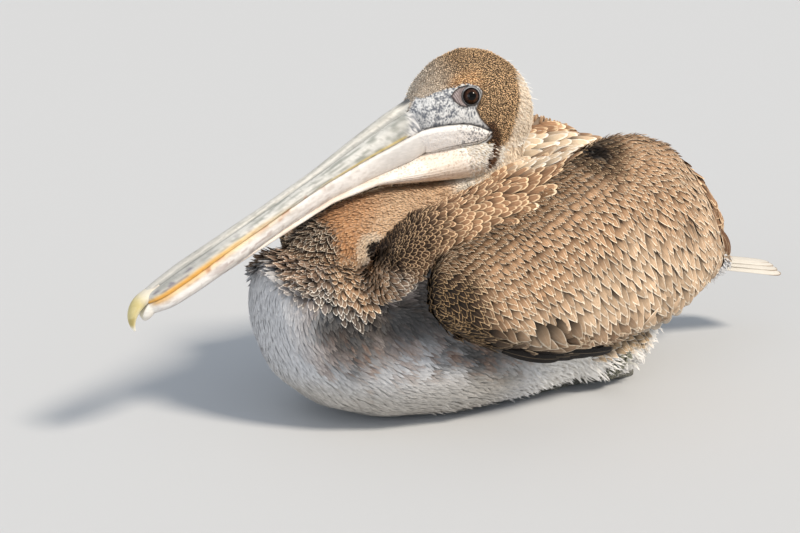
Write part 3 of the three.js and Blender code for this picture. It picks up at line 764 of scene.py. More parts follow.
def markings(places, normals, owners):
    # the colour of vane and rim at every place, for skin and feathers alike
    n = len(places)
    x, y, z = measures(places)
    broad, fine = mottle(places, 22 * mm, 1), mottle(places, 6 * mm, 2)
    tone = np.tile(plumage["belly"][0], (n, 1))
    rim = np.tile(plumage["belly"][1], (n, 1))

    def lay(name, share):
        nonlocal tone, rim
        tone = blend(tone, plumage[name][0], share)
        rim = blend(rim, plumage[name][1], share)

    low = z - collarEdge(places) / mm
    isTrunk, isThigh = isNode(owners, "trunk"), isNode(owners, "thigh")
    isShoulder, isWing = isNode(owners, "shoulder"), isNode(owners, "wing")
    isNeck, isHead = isNode(owners, "neck"), isNode(owners, "head")
    under = isTrunk | isThigh | (isShoulder & (low < 0) & (y < -122))
    # flank: painted shadow of the wing, dark beside it, breaking up into brown smudges downwards
    away, _ = toLine(places[:, 1:] / mm, [(-206, 96), (-176, 104), (-152, 118), (-141, 152)])
    beyond, _ = toLine(places[:, 1:] / mm, [(-152, 112), (-125, 94), (-98, 76), (-72, 66)])
    away = np.minimum(away, beyond + 6)
    dark = step(46, 6, away + 26 * (broad - 0.5) + 24 * (fine - 0.5)) * step(36, 60, x)
    smudge = step(0.53, 0.66, broad * 0.5 + fine * 0.5 + 0.16 * step(-90, -20, low) - 0.05)
    lay("smudge", under * smudge * step(-112, -60, low) * step(-245, -215, y) * 0.6)
    # painted shadow of the wing on the flank
    lay("flank", under * dark * 0.9)
    tiny = mottle(places, 3.4 * mm, 5)
    lay("smudge", under * dark * step(0.52, 0.74, tiny) * step(100, 82, z + 16 * (broad - 0.5)) * 0.55)
    spot = step(0.56, 0.7, mottle(places, 7 * mm, 6) + 0.12 * (tiny - 0.5))
    spotted = step(92, 76, z) * step(46, 56, z) * step(-205, -185, y) * step(10, -20, y)
    lay("smudge", under * spot * spotted * 0.5)
    # warmer grey low on the front of the belly, darkened as painted shade of the underside
    lay("warmShade", under * step(66, 30, z) * step(-30, -80, y) * 0.7)
    lay("white", (isTrunk | isThigh) * step(-62, 0, y) * step(84, 66, z))
    lay("lobe", (isTrunk | isThigh) * lobeShare(places))
    lay("hock", isThigh * hockShare(places))
    # breast collar
    collar = step(-3, 3, low + 6 * (fine - 0.5)) * (isTrunk | isShoulder) * step(-100, -140, y)
    lay("collar", collar)
    lay("collarTip", collar * step(44, 6, low) * step(-120, -150, y))
    neckward = step(0, 1, (z - 0.35 * (y + 200) - 132) / 22)
    lay("neck", collar * neckward * (x < 60) * (0.3 + 0.3 * step(26, 40, x)))
    lay("scapular", collar * step(62, 76, x) * step(14, 30, low) * 0.6)
    # back and rump
    top = isTrunk & (z > 100) & (y > -120)
    lay("back", top * step(100, 140, z))
    lay("rump", top * step(150, 215, y))
    # shoulders
    lay("scapular", isShoulder * step(-178, -150, y) * ~under)
    # darker feathers at the front of the shoulder, partly painted shade of the pocket beside the neck
    lay("scapularFront", isShoulder * step(-106, -146, y) * step(138, 153, z) * step(112, 92, x) * ~under)
    lay("scapularLong", (isShoulder | isTrunk) * step(-46, -22, y) * step(112, 84, y) * step(196, 204, z)
        * step(74, 64, x) * step(-52, -36, places[:, 0] / mm))
    # wings
    depthBelow = np.interp(y, [-160, -118, -58, 0, 25, 62, 95, 130, 162, 188, 207],
                           [144, 171, 195, 224, 234, 242, 239, 227, 201, 166, 128]) - z
    lay("covert", isWing)
    lay("covertLow", isWing * step(50, 105, depthBelow + 20 * (broad - 0.5)) * step(-130, -60, y))
    lay("leading", isWing * step(27, 7, depthBelow + 8 * (fine - 0.5)) * step(78, 40, y))
    elbow = np.linalg.norm((leftSide(places) - hollow["elbow"]) / mm, axis=1)
    # wrist colour: darker feathers, with painted shade round the elbow's hollow, at the wrist and low on the
    # wing's front
    lay("wrist", isWing * step(38, 16, elbow + 8 * (fine - 0.5)) * 0.85)
    lay("wrist", isWing * step(-92, -128, y + 0.25 * (z - 110)) * step(168, 140, z) * 0.9)
    lay("wrist", isWing * step(86, 70, z) * step(-30, -70, y) * 0.8)
    lay("tertial", isWing * step(112, 80, z + 10 * (broad - 0.5)) * step(70, 10, y) * step(-64, -24, y) * 0.7)
    # painted light: paler coverts over the wing's rear, against the shade that falls there
    lay("covertLow", isWing * step(110, 165, y) * 0.7)
    # painted shade over the darker feathers at the front of the wing, which faces away from the light
    lay("front", isWing * step(-78, -108, y + 0.25 * (z - 110)) * step(106, 84, z) * 0.75)
    lay("front", isWing * step(-110, -132, y + 0.25 * (z - 110)) * step(156, 138, z) * 0.9)
    # neck
    lay("neck", isNeck)
    lay("neckPale", isNeck * step(-175, -135, y) * step(16, 30, x) * 0.85)
    lay("neckPale", isNeck * step(150, 190, z + 0.3 * y + 30) * 0.35)
    # paler neck under the pouch, partly painted light against the shade of the bill and pouch
    lay("neckPale", isNeck * step(162, 178, z) * step(-150, -118, y) * 0.85)
    lay("neckDark", isNeck * step(-172, -190, y) * 0.5)
    onNeck = isNeck * step(-180, -188, y + 10 * (fine - 0.5))
    lay("collar", onNeck)
    lay("scapular", onNeck * step(164, 140, z) * 0.6)
    lay("throat", isNeck * step(178, 192, z) * step(-70, -48, y))
    # head
    lay("crown", isHead)
    lay("crownPale", isHead * step(-56, -96, y) * 0.9)
    lay("buff", isHead * step(16, 3, np.hypot((y + 58) * 0.55, z - 287.5)) * step(18, 24, x))
    napeEdge = np.interp(z, [201, 215, 232, 260, 279, 292], [-38, -27, -11, -4.0, -2.5, 2])
    behindFace = step(-1.8, 1.8, y - napeEdge + 3 * (fine - 0.5))
    lay("nape", (isHead | isNeck) * behindFace * step(294, 280, z) * (z > 196))
    lay("throat", isHead * step(226, 216, z - 0.35 * (y + 20)))
    cheekAway, _ = toLine(places[:, 1:] / mm, [(-34, 246), (-27, 237), (-25, 228), (-26, 217)])
    lay("cheek", isHead * step(6.5, 2.5, cheekAway) * step(8, 16, x) * 0.95)
    # painted light: paler feathers over the crease between neck, breast and shoulder, against the shade that
    # falls in it
    fold = np.sqrt(((x - 52) / 34) ** 2 + ((y + 174) / 28) ** 2 + ((z - 132) / 22) ** 2)
    lay("scapular", (isTrunk | isShoulder) * ~under * step(1.1, 0.7, fold) * 0.8)
    creaseLight = step(1.35, 0.85, fold) * step(152, 144, z)
    lay("covert", (isTrunk | isNeck | isShoulder) * (low > -2) * creaseLight * 0.85)
    # painted shade: near black in the neck's dimple, on the inner front of the shoulder and round the elbow's
    # hollow, and a shaded patch over the shoulder's front; the pale nape colour rings the neck's dimple
    beside = np.linalg.norm(leftSide(places) - hollow["neck"], axis=1) / hollow["neckRadius"]
    lay("nape", isNeck * (x > 20) * step(2.1, 1.6, beside) * 0.8)
    lay("hollow", isNeck * step(1.08, 0.94, beside))
    beside = np.linalg.norm(leftSide(places) - hollow["shoulder"], axis=1) / hollow["shoulderRadius"]
    lay("shade", isShoulder * step(1.25, 0.6, beside + 0.4 * (fine - 0.5)) * step(140, 146, z) * 0.9)
    lay("hollow", isShoulder * step(54, 48, x) * step(1.15, 0.8, beside) * step(140, 146, z))
    lay("hollow", (isWing | isShoulder) * step(13, 8, elbow))
    return tone, rim


print("plumage colours ready")


def coatFinish(name, look):
    material, wire = newFinish(name)
    tone, rim = attribute(wire, "tone"), attribute(wire, "rim")
    along = wire.add("ShaderNodeSeparateColor", None, {0: attribute(wire, "lie")})
    spread, chance = (Wire(wire.tree, along.socket.node.outputs[i]) for i in (1, 2))
    across = abs(spread * 2 - 1)
    spot = wire.place()
    ragged = (wire.noise(spot, look["raggedScale"]) - 0.5) * look["ragged"]
    sideRim = (across * (0.35 + along * 0.65) + ragged).ramp(look["rimStart"], look["rimEnd"])
    tipRim = (along + ragged).ramp(look["tipStart"], look["tipEnd"])
    edge = wire.math("MAXIMUM", sideRim, tipRim) * look["rimShare"]
    colour = edge.mix(tone, rim)
    shaft = (1 - across.ramp(0.02, 0.11)) * look["shaft"]
    colour = shaft.mix(colour, rim)
    # barbs slant back from the shaft
    barb = wire.math("SINE", (along * look["barbs"] - across * look["barbs"] * 0.45) * (2 * math.pi))
    streak = wire.noise(spot, look["streakScale"], 3.0)
    level = 1 - look["rootShade"] * (1 - along.ramp(0.05, look["rootEnd"]))
    level = level * (1 + (chance - 0.5) * look["vary"]) * (1 + (streak - 0.5) * look["streak"])
    level = level * (1 + barb * look["barbTone"])
    colour = colour.shade(level)
    height = barb * 0.3 + streak * 0.5 - shaft * 0.8
    closeFinish(wire, colour, look["roughness"], height, look["bump"], **{"Specular IOR Level": 0.25})
    return material


coatLook = {
    "raggedScale": 900.0, "ragged": 0.14, "rimStart": 0.5, "rimEnd": 0.74, "tipStart": 0.84, "tipEnd": 0.94,
    "rimShare": 1.0, "shaft": 0.15, "barbs": 14.0, "barbTone": 0.05, "streakScale": 260.0, "streak": 0.45,
    "rootShade": 0.9, "rootEnd": 0.84, "vary": 0.45, "roughness": 0.75, "bump": 0.0002,
}
downLook = {**coatLook, "shaft": 0.0, "ragged": 0.3}
velvetLook = {**downLook, "rimShare": 0.9, "rimEnd": 1.0, "rootShade": 0.3, "barbTone": 0.0, "roughness": 0.85}
longLook = {**coatLook, "rimStart": 0.84, "shaft": 0.5, "raggedScale": 500.0, "roughness": 0.6}
wingFinish = coatFinish("wing coverts", coatLook)
combFinish = coatFinish("wing comb", {
    **coatLook, "rimEnd": 0.86, "rootShade": 0.85, "rootEnd": 0.7, "vary": 0.4})
softFinish = coatFinish("soft down", {
    **downLook, "rimShare": 0.7, "rimStart": 0.3, "rimEnd": 0.95, "tipStart": 0.4, "tipEnd": 1.0,
    "rootShade": 0.1, "vary": 0.1, "barbTone": 0.02, "roughness": 0.9, "bump": 0.0001})
velvetFinish = coatFinish("neck velvet", {**velvetLook, "tipStart": 0.5, "tipEnd": 0.95, "vary": 0.22})
downFinish = coatFinish("nape down", {**velvetLook, "tipStart": 0.3, "tipEnd": 0.8, "vary": 0.3})
speckFinish = coatFinish("crown specks", {
    **velvetLook, "rimShare": 1.0, "rimStart": 0.8, "rimEnd": 1.1, "tipStart": 0.45, "tipEnd": 0.68,
    "rootShade": 0.62, "vary": 1.25})
longFinish = coatFinish("flight feathers", {
    **longLook, "rimEnd": 0.97, "tipStart": 0.95, "tipEnd": 0.99, "rimShare": 0.8, "barbs": 70.0,
    "barbTone": 0.06, "rootShade": 0.25, "vary": 0.2, "streak": 0.25, "ragged": 0.05, "bump": 0.00015})
tailFinish = coatFinish("tail feathers", {
    **longLook, "rimEnd": 0.96, "tipStart": 0.97, "tipEnd": 0.995, "rimShare": 0.9, "shaft": 0.6,
    "barbs": 80.0, "barbTone": 0.04, "rootShade": 0.1, "vary": 0.08, "streak": 0.12, "ragged": 0.04,
    "bump": 0.00012})


# Wing coverts: rows that start in the fold beside the back and run down the wing.
wing = {
    "flow": [  # (y, z, degrees below level that the feathers point)
        (-150, 152, 45), (-105, 178, 48), (-60, 195, 48), (0, 222, 44), (60, 238, 24), (110, 224, 42),
        (150, 197, 58), (185, 150, 70), (203, 118, 58), (-60, 150, 58), (0, 150, 65), (60, 160, 67),
        (110, 150, 66), (150, 130, 60), (-110, 130, 50), (-60, 100, 52), (0, 100, 56), (60, 104, 54),
        (120, 108, 50), (165, 100, 42), (-130, 96, 22), (-90, 78, 16), (-50, 64, 14), (0, 62, 26),
        (70, 66, 26), (150, 82, 22), (-156, 122, 66), (-146, 108, 48)],
    "start": [(-180, 126), (-166, 146), (-142, 158), (-118, 168), (-92, 178), (-58, 192), (-20, 209),
              (25, 230), (62, 237), (95, 235), (120, 233), (145, 237), (175, 238)],
    "topEdge": [(-165, 140), (-140, 161), (-118, 171), (-92, 181), (-58, 195), (-20, 212), (25, 234),
                (62, 242), (95, 242), (130, 240), (162, 232), (188, 222), (207, 212)],
    "mostRows": 60, "lowest": 30, "rearmost": 240, "rowSmoothing": 6,
    "levels": [0, 14, 40, 80, 120, 170],  # distances below the top edge, for the three tables that follow
    "length": [8.2, 9.8, 17, 28, 34, 38],
    "width": [2.3, 2.8, 5.0, 7.2, 9.6, 11.5],
    "rowGap": [4.6, 5.6, 8.0, 11.6, 13.0, 13.5],
    "closeness": 0.86, "frontGap": 3.3 * mm, "frontClear": 2.8 * mm,
}


def flowAngle(spot):  # radians below level at a (y, z) place on the wing
    points = np.array(wing["flow"], float)
    away = ((spot[:, None, :] - points[None, :, :2]) ** 2).sum(-1)
    weight = 1 / (away + 60) ** 1.6
    return np.radians((weight * points[:, 2]).sum(1) / weight.sum(1))


def wingFlow(places, normals):
    angle = flowAngle(places[:, 1:] / mm)
    side = np.sign(places[:, 0])
    outward = normals[:, 0] * side
    fall = np.clip(outward * 2.2, -0.6, 1)
    return np.stack([side * 1.1 * step(1.0, 0.2, outward), np.cos(angle), -np.sin(angle) * fall], 1)


def wingLevels(places):  # distance below the wing's top edge, in millimetres
    y, z = places[:, 1] / mm, places[:, 2] / mm
    below = (np.interp(y, *np.transpose(wing["topEdge"])) - z) * 0.8
    # the wrist stays small-feathered
    return np.where(y < -70, np.minimum(below, 18 + np.clip(y + 166, 0, 200) * 0.7), below)


def sizeAt(levels, field):
    return np.interp(levels, wing["levels"], wing[field]) * mm


def evenLine(line, gap=1.0):  # the same bent line with a point every gap
    run = np.concatenate([[0], np.cumsum(np.linalg.norm(np.diff(line, axis=0), axis=1))])
    at = np.arange(0, run[-1], gap)
    return np.stack([np.interp(at, run, line[:, i]) for i in (0, 1)], 1)


def wingRows(side):  # roots in rows, each row moved on from the last along the flow
    line = evenLine(np.array(wing["start"], float))
    owned = isNode(faceOwner, "wing_left" if side > 0 else "wing_right")
    roots = []
    for row in range(wing["mostRows"]):
        places = np.column_stack([np.zeros(len(line)), line]) * mm
        levels = wingLevels(places)
        wide = sizeAt(levels, "width") / mm
        count = np.cumsum(1.0 / (wide * wing["closeness"])) + 0.5 * (row % 2) + 0.13 * math.sin(row * 2.1)
        marks = np.flatnonzero(np.diff(np.floor(count)) > 0)
        for y, z in line[marks]:
            beside = Vector((side * 0.2, y * mm, z * mm))
            spot, _, index, _ = surface.tree.ray_cast(beside, Vector((-side, 0, 0)))
            if spot is not None and owned[index]:
                roots.append(spot[:])
        gap = sizeAt(levels, "rowGap") / mm
        angle = flowAngle(line)
        line = line + gap[:, None] * np.stack([np.cos(angle), -np.sin(angle)], 1)
        line = evenLine(np.stack([smoothed(line[:, i], wing["rowSmoothing"]) for i in (0, 1)], 1))
        line = line[(line[:, 1] > wing["lowest"]) & (line[:, 0] < wing["rearmost"])]
        if len(line) < 8:
            break
    return np.array(roots)


evening = {"neighbours": 7, "reach": 1.4, "push": 0.22}  # reach and push as shares of the spacing


def relaxed(places, spacing, rounds):
    # nudges roots away from their near neighbours, so that they lie evenly
    for _ in range(rounds):
        tree = KDTree(len(places))
        for i, place in enumerate(places.tolist()):
            tree.insert(place, i)
        tree.balance()
        gaps = spacing(places)
        shift = np.zeros_like(places)
        for i, place in enumerate(places.tolist()):
            reach = gaps[i] * evening["reach"]
            for _, index, away in tree.find_n(place, evening["neighbours"]):
                if index != i and away < reach:
                    push = (1 - away / reach) * gaps[i] * evening["push"] / max(away, 1e-6)
                    shift[i] += (places[i] - places[index]) * push
        places, normals, faces = surface.nearest(places + shift)
    return places, normals, faceOwner[faces]


def wingCell(places):  # how far apart the feathers of two rows lie, on average
    levels = wingLevels(places)
    return np.sqrt(sizeAt(levels, "rowGap") * sizeAt(levels, "width") * wing["closeness"])


coverts = {  # above and below the narrow band of small feathers
    "small": {"shape": "scale", "follow": 0.9, "camber": 0.3, "wider": 1.04, "finish": combFinish},
    "large": {"shape": "covert", "follow": 0.8, "camber": 0.16, "wider": 1.22, "finish": wingFinish},
}
covertLie = {"rootHeight": -0.4 * mm, "tipHeight": 2.5 * mm, "turn": 4.5, "uneven": 0.09, "ruffle": 0.3,
             "twist": 6}
for (sideName, side), seed in zip(sides, (11, 12)):
    inRows = wingRows(side)
    keep = isNode(faceOwner, f"wing_{sideName}") & (surface.faceNormals[:, 2] > -0.9)
    extra, _, _ = scatter(keep, lambda places: 0.98 * wingCell(places), seed,
                          (inRows, wingCell(inRows) * 1.25))
    inRows = np.vstack([inRows, extra])
    bend = keep & (surface.faceNormals[:, 1] < -0.45)
    front, _, _ = scatter(bend, lambda places: np.full(len(places), wing["frontGap"]), seed + 4,
                          (inRows, np.full(len(inRows), wing["frontClear"])))
    roots, normals, faces = surface.nearest(np.vstack([inRows, front]))
    levels = wingLevels(roots)
    tones, rims = markings(roots, normals, faceOwner[faces])
    lie = wingFlow(roots, normals)
    rootY = roots[:, 1] / mm
    isSmall = (levels < 26) & (rootY > -112)
    broader = np.where(levels < 40, np.interp(rootY, [-150, -96], [1.5, 1.0]), 1.0)
    for part, chosen in (("small", isSmall), ("large", ~isSmall)):
        look = {**covertLie, **coverts[part]}
        width = sizeAt(levels[chosen], "width") * broader[chosen] * look["wider"]
        piece = layFeathers(
            f"coverts_{part}_{sideName}", roots[chosen], normals[chosen], lie[chosen],
            sizeAt(levels[chosen], "length"), width, tones[chosen], rims[chosen], look, seed + 20,
            unrolled((0.1 * side, 0.14), -0.17, 0.23))
        finished(piece, look["finish"])
print("wing coverts laid")


# The middle line of the neck, head end first, as (y, z).
neckLine = np.array([(-7, 246), (-8, 205), (-26, 177), (-68, 160), (-114, 155), (-160, 147), (-195, 128),
                     (-205, 92)]) * mm
neckSteps = np.linspace(0, len(neckLine) - 1, 90)
neckCurve = np.stack([smoothed(np.interp(neckSteps, range(len(neckLine)), column), 6)
                      for column in neckLine.T], 1)
neckHeads = unit(np.gradient(neckCurve, axis=0))


def neckFlow(places, normals):  # from the head towards the breast, opening out at the lower end
    away = ((places[:, None, 1:] - neckCurve[None]) ** 2).sum(-1)
    closest = away.argmin(1)
    heads = neckHeads[closest]
    side = places[:, 0] * 4
    return np.stack([side * step(60, 85, closest), heads[:, 0], heads[:, 1]], 1)


neckBase = np.array([0, -160, 150]) * mm


def bodyFlow(places, normals):  # away from the neck's base over the breast, then back along belly and back
    n = len(places)
    y, z = places[:, 1] / mm, places[:, 2] / mm
    outward = np.sign(places[:, 0]) * 0.15 * step(0.3, 0.8, normals[:, 2])
    rear = np.stack([outward, np.full(n, 0.85), np.full(n, -0.55)], 1)
    front = unit(places - neckBase)
    front[:, 1] += 0.3 + 1.3 * step(115, 30, z)
    return blend(front, rear, step(-150, -70, y))


def shoulderFlow(places, normals):
    n = len(places)
    return np.stack([np.sign(places[:, 0]) * 0.12, np.ones(n), np.full(n, -0.2)], 1)


def headFlow(places, normals):
    n = len(places)
    y = places[:, 1] / mm
    return np.stack([np.zeros(n), np.full(n, 1.0), -0.25 - 0.9 * step(-40, 10, y)], 1)


def sized(value):  # a plain number stands for the same size at every place
    return value if callable(value) else lambda places: np.full(len(places), value)


def coat(name, keep, look, flow, finish, seed, unwrap):
    # feathers over the faces in keep; even says how often their roots are spaced out again
    spacing, length, width = (sized(look[key]) for key in ("spacing", "length", "width"))
    roots, normals, owners = scatter(keep, spacing, seed)
    if look["even"]:
        roots, normals, owners = relaxed(roots, spacing, look["even"])
    tones, rims = markings(roots, normals, owners)
    level = look.get("level", 1.0)
    piece = layFeathers(name, roots, normals, flow(roots, normals), length(roots), width(roots), tones * level,
                        rims * level, look, seed + 50, unwrap)
    return finished(piece, finish)


# The parts of the skin that each kind of feather grows on.
spots, faceUp = surface.centres, surface.faceNormals
spotX, spotY, spotZ = measures(spots)
heightOver = (spots[:, 2] - collarEdge(spots)) / mm
ownTrunk, ownNeck, ownShoulder, ownHead, ownThigh = (
    isNode(faceOwner, start) for start in ("trunk", "neck", "shoulder", "head", "thigh"))
isFlank = ownShoulder & (heightOver < 0) & (spotY < -122) & (spotX > 62)
isBack = (ownShoulder & ~isFlank) | (ownTrunk & (spotZ > 104) & (spotY > -100))
neckEnd = ownNeck & (spotY + 10 * (mottle(spots, 6 * mm, 2) - 0.5) < -184)
isCollar = (neckEnd | (ownTrunk & (heightOver > -4) & (spotY < -100))
            | (ownShoulder & ~isFlank & (spotY < -166)))
isBack &= ~isCollar
onRuff = ownTrunk & isCollar & (spotY < -214) & (spotZ > 122) & (spotX < 50)
onHock = ownThigh & (hockShare(spots) > 0.5)
onLobe = (ownThigh | ownTrunk) & (lobeShare(spots) > 0.5)
underTail = (ownThigh & (spotY > 60)) | (ownTrunk & (spotY > 110) & ~isBack)
besideWing = (ownThigh | ownTrunk) & (spotY > -42) & (spotZ < 72) & (spotZ > 1.5) & (spotX > 50)
isVent = (underTail | besideWing) & ~onHock & (lobeShare(spots) < 0.5)
onGround = (faceUp[:, 2] < -0.97) & (spotZ < 1)
isBelly = (ownTrunk | ownThigh | isFlank) & ~isBack & ~isCollar & ~isVent & ~onGround
onFringe = ((ownTrunk | ownThigh) & (spotZ > 2) & (spotZ < 26) & (spotX > 40) & (spotY > -120)
            & ~isVent & ~onHock)
bareFace = bareShare(spots) * (spotZ > 205)
onCrown = ownHead & (bareFace < 0.5)
palest = markings(spots, faceUp, faceOwner)[0].min(1) > 0.45


def shoulderSize(places):
    return np.interp(places[:, 1] / mm, [-185, -160, -120, -80, -40, 0, 60, 140, 230],
                     [2.6, 3.3, 5.2, 6.8, 8.0, 9.5, 10.5, 10.0, 9.0]) * mm


scapulars = {
    "spacing": lambda p: shoulderSize(p) * 0.74,
    "length": lambda p: shoulderSize(p) * np.interp(p[:, 1] / mm, [-170, -90, 0, 60], [2.0, 2.4, 3.3, 3.6]),
    "width": lambda p: shoulderSize(p) * 1.12, "even": 3, "shape": "round", "rootHeight": -0.5 * mm,
    "tipHeight": 2.6 * mm, "turn": 7, "uneven": 0.1, "ruffle": 0.3, "twist": 7, "camber": 0.22, "follow": 0.9,
}
for sideName, side in sides:
    coat(f"scapulars_{sideName}", isBack & (spots[:, 0] * side > 0), scapulars, shoulderFlow,
         wingFinish, 31 + side, unrolled((0, 0.1), -0.2, 0.27))


def collarSize(places):  # shaggy at the lower edge, short where the neck begins
    over = (places[:, 2] - collarEdge(places)) / mm
    return np.interp(over, [-5, 8, 22, 40], [5.6, 5.0, 4.0, 3.2]) * mm


collar = {
    "spacing": lambda p: collarSize(p) * 0.64, "length": lambda p: collarSize(p) * 2.1,
    "width": lambda p: collarSize(p) * 1.02, "even": 2, "shape": "scale", "rootHeight": -0.3 * mm,
    "tipHeight": 3.4 * mm, "turn": 10, "uneven": 0.14, "ruffle": 0.4, "twist": 11, "camber": 0.26,
    "follow": 0.9, "power": 1.4,
}
breastMap = unrolled((0, 0.08), -0.27, -0.09)
coat("collar", isCollar, collar, bodyFlow, wingFinish, 41, breastMap)


def ruffFlow(places, normals):  # up and out from the neck's base
    return unit(places - neckBase) + np.array([0, -0.05, 0.75])


ruff = {
    "spacing": 3.0 * mm, "length": 10 * mm, "width": 4.4 * mm, "even": 2, "shape": "scale",
    "rootHeight": 0.4 * mm, "tipHeight": 6.5 * mm, "turn": 12, "uneven": 0.16, "ruffle": 0.35, "twist": 12,
    "camber": 0.26, "flat": True,
}
coat("collar_ruff", onRuff, ruff, ruffFlow, wingFinish, 43, breastMap)

belly = {
    "spacing": 2.3 * mm, "length": 10 * mm, "width": 2.5 * mm, "even": 0, "shape": "tuft",
    "rootHeight": 0.3 * mm, "tipHeight": 1.0 * mm, "turn": 8, "uneven": 0.16, "ruffle": 0.2, "twist": 2,
    "camber": 0.03, "follow": 1.0, "power": 0.8,
}
for sideName, side in sides:
    coat(f"belly_{sideName}", isBelly & (spots[:, 0] * side >= 0), belly, bodyFlow,
         softFinish, 52 + side, unrolled((0, 0.08), -0.27, 0.14))

bellyFringe = {
    "spacing": 3.7 * mm, "length": 11 * mm, "width": 2.2 * mm, "even": 0, "shape": "tuft",
    "rootHeight": 0.3 * mm, "tipHeight": 2.4 * mm, "turn": 13, "uneven": 0.2, "ruffle": 0.35, "twist": 10,
    "camber": 0.2, "power": 1.5,
}
coat("belly_fringe", onFringe, bellyFringe, bodyFlow, softFinish, 63,
     unrolled((0, 0.06), -0.12, 0.14))

ventFluff = {
    "spacing": 2.8 * mm, "length": lambda p: np.interp(p[:, 1] / mm, [-40, 60], [11, 16]) * mm,
    "width": 2.2 * mm, "even": 0, "shape": "tuft", "rootHeight": -0.3 * mm, "tipHeight": 3.8 * mm, "turn": 16,
    "uneven": 0.22, "ruffle": 0.5, "twist": 14, "camber": 0.3, "follow": 0.75, "power": 1.5,
}
coat("vent_fluff", isVent, ventFluff, bodyFlow, softFinish, 61,
     unrolled((0, 0.06), -0.06, 0.27))

hockScales = {
    "spacing": 1.7 * mm, "length": 3.6 * mm, "width": 2.6 * mm, "even": 2, "shape": "scale",
    "rootHeight": 1.2 * mm, "tipHeight": 2.2 * mm, "turn": 10, "uneven": 0.12, "ruffle": 0.3, "twist": 8,
    "camber": 0.3, "follow": 0.9,
}
thighMap = unrolled((0, 0.06), 0.0, 0.14)
coat("hock_scales", onHock, hockScales, bodyFlow, wingFinish, 67, thighMap)

flankLobe = {
    "spacing": 4.6 * mm, "length": 13 * mm, "width": 6.4 * mm, "even": 2, "shape": "covert",
    "rootHeight": 0.2 * mm, "tipHeight": 3.4 * mm, "turn": 9, "uneven": 0.12, "ruffle": 0.3, "twist": 8,
    "camber": 0.2, "follow": 0.9,
}
wingTips = {  # larger pointed feathers that stand off the wing's lower front edge
    "spacing": 9.5 * mm, "length": lambda p: np.interp(p[:, 1] / mm, [-104, -60], [16, 25]) * mm,
    "width": lambda p: np.interp(p[:, 1] / mm, [-104, -60], [8, 12]) * mm, "even": 2, "shape": "covert",
    "rootHeight": 0.8 * mm, "tipHeight": 6.0 * mm, "turn": 8, "uneven": 0.12, "ruffle": 0.3, "twist": 9,
    "camber": 0.22, "level": 0.62,
}
lowFront = (spotY > -104) & (spotY < -26) & (spotZ > 63 + 0.1 * (spotY + 104)) & (spotZ < 100) & (spotX > 112)
for sideName, side in sides:
    coat(f"flank_lobe_{sideName}", onLobe & (spots[:, 0] * side > 0), flankLobe, bodyFlow,
         wingFinish, 65 + side, thighMap)
    coat(f"wing_tips_{sideName}", isNode(faceOwner, f"wing_{sideName}") & lowFront, wingTips, wingFlow,
         wingFinish, 68 + side, unrolled((0.1 * side, 0.14), -0.17, 0.23))


def neckSize(places):
    y, z = places[:, 1] / mm, places[:, 2] / mm
    return (1.55 + 1.2 * step(-185, -225, y) * step(160, 130, z) + 0.5 * step(-120, -190, y)) * mm


def neckLength(places):  # shorter round the hollow painted dark as shade, so that its edge stays clean
    beside = np.linalg.norm(leftSide(places) - hollow["neck"], axis=1) / hollow["neckRadius"]
    return neckSize(places) * 3.1 * np.interp(beside, [1.1, 1.5], [0.5, 1.0])


neckVelvet = {
    "spacing": lambda p: neckSize(p) * 0.98, "length": neckLength, "width": lambda p: neckSize(p) * 1.15,
    "even": 0, "shape": "speck", "rootHeight": -0.2 * mm, "tipHeight": 1.6 * mm, "turn": 10, "uneven": 0.15,
    "ruffle": 0.35, "twist": 10, "camber": 0.3, "flat": True,
}
coat("neck_velvet", ownNeck & ~isCollar, neckVelvet, neckFlow, velvetFinish, 71,
     unrolled((0, 0.155), -0.25, 0.05))

headMap = unrolled((0, 0.26), -0.115, 0.035)
headVelvet = {
    "spacing": 1.25 * mm, "length": 4.2 * mm, "width": 1.4 * mm, "even": 0, "shape": "speck",
    "rootHeight": 0.1 * mm, "tipHeight": 1.4 * mm, "turn": 10, "uneven": 0.14, "ruffle": 0.35, "twist": 8,
    "camber": 0.25, "flat": True, "power": 1.1,
}
coat("head_velvet", onCrown & palest, headVelvet, headFlow, downFinish, 83, headMap)

headSpecks = {
    "spacing": 1.08 * mm, "length": lambda p: np.interp(p[:, 1] / mm, [-105, -80, 20], [1.8, 2.5, 3.0]) * mm,
    "width": 1.02 * mm, "even": 0, "shape": "speck", "rootHeight": -0.2 * mm, "tipHeight": 1.15 * mm,
    "turn": 9, "uneven": 0.14, "ruffle": 0.35, "twist": 10, "camber": 0.34, "flat": True, "power": 1.1,
}
coat("head_specks", onCrown & ~palest, headSpecks, headFlow, speckFinish, 81, headMap)

napeBristles = {
    "count": 46, "length": 11 * mm, "width": 0.5 * mm, "shape": "tuft", "rootHeight": 0, "tipHeight": 5.0 * mm,
    "turn": 18, "uneven": 0.2, "ruffle": 0.4, "flat": True, "power": 1.1, "camber": 0.3,
}
draw = np.random.default_rng(91)
onNape = ownHead & (((spotY > 8) & (spotZ > 262) & (spotZ < 296)) | ((spotY > -6) & (spotZ > 276)))
picks = draw.choice(np.flatnonzero(onNape), napeBristles["count"])
palestRim = np.tile(plumage["throat"][1], (len(picks), 1))
piece = layFeathers("nape_bristles", spots[picks], faceUp[picks], headFlow(spots[picks], faceUp[picks]),
                    napeBristles["length"] * draw.uniform(0.6, 1.1, len(picks)),
                    np.full(len(picks), napeBristles["width"]), palestRim, palestRim, napeBristles, 92,
                    headMap)
finished(piece, softFinish)
print("coat laid")


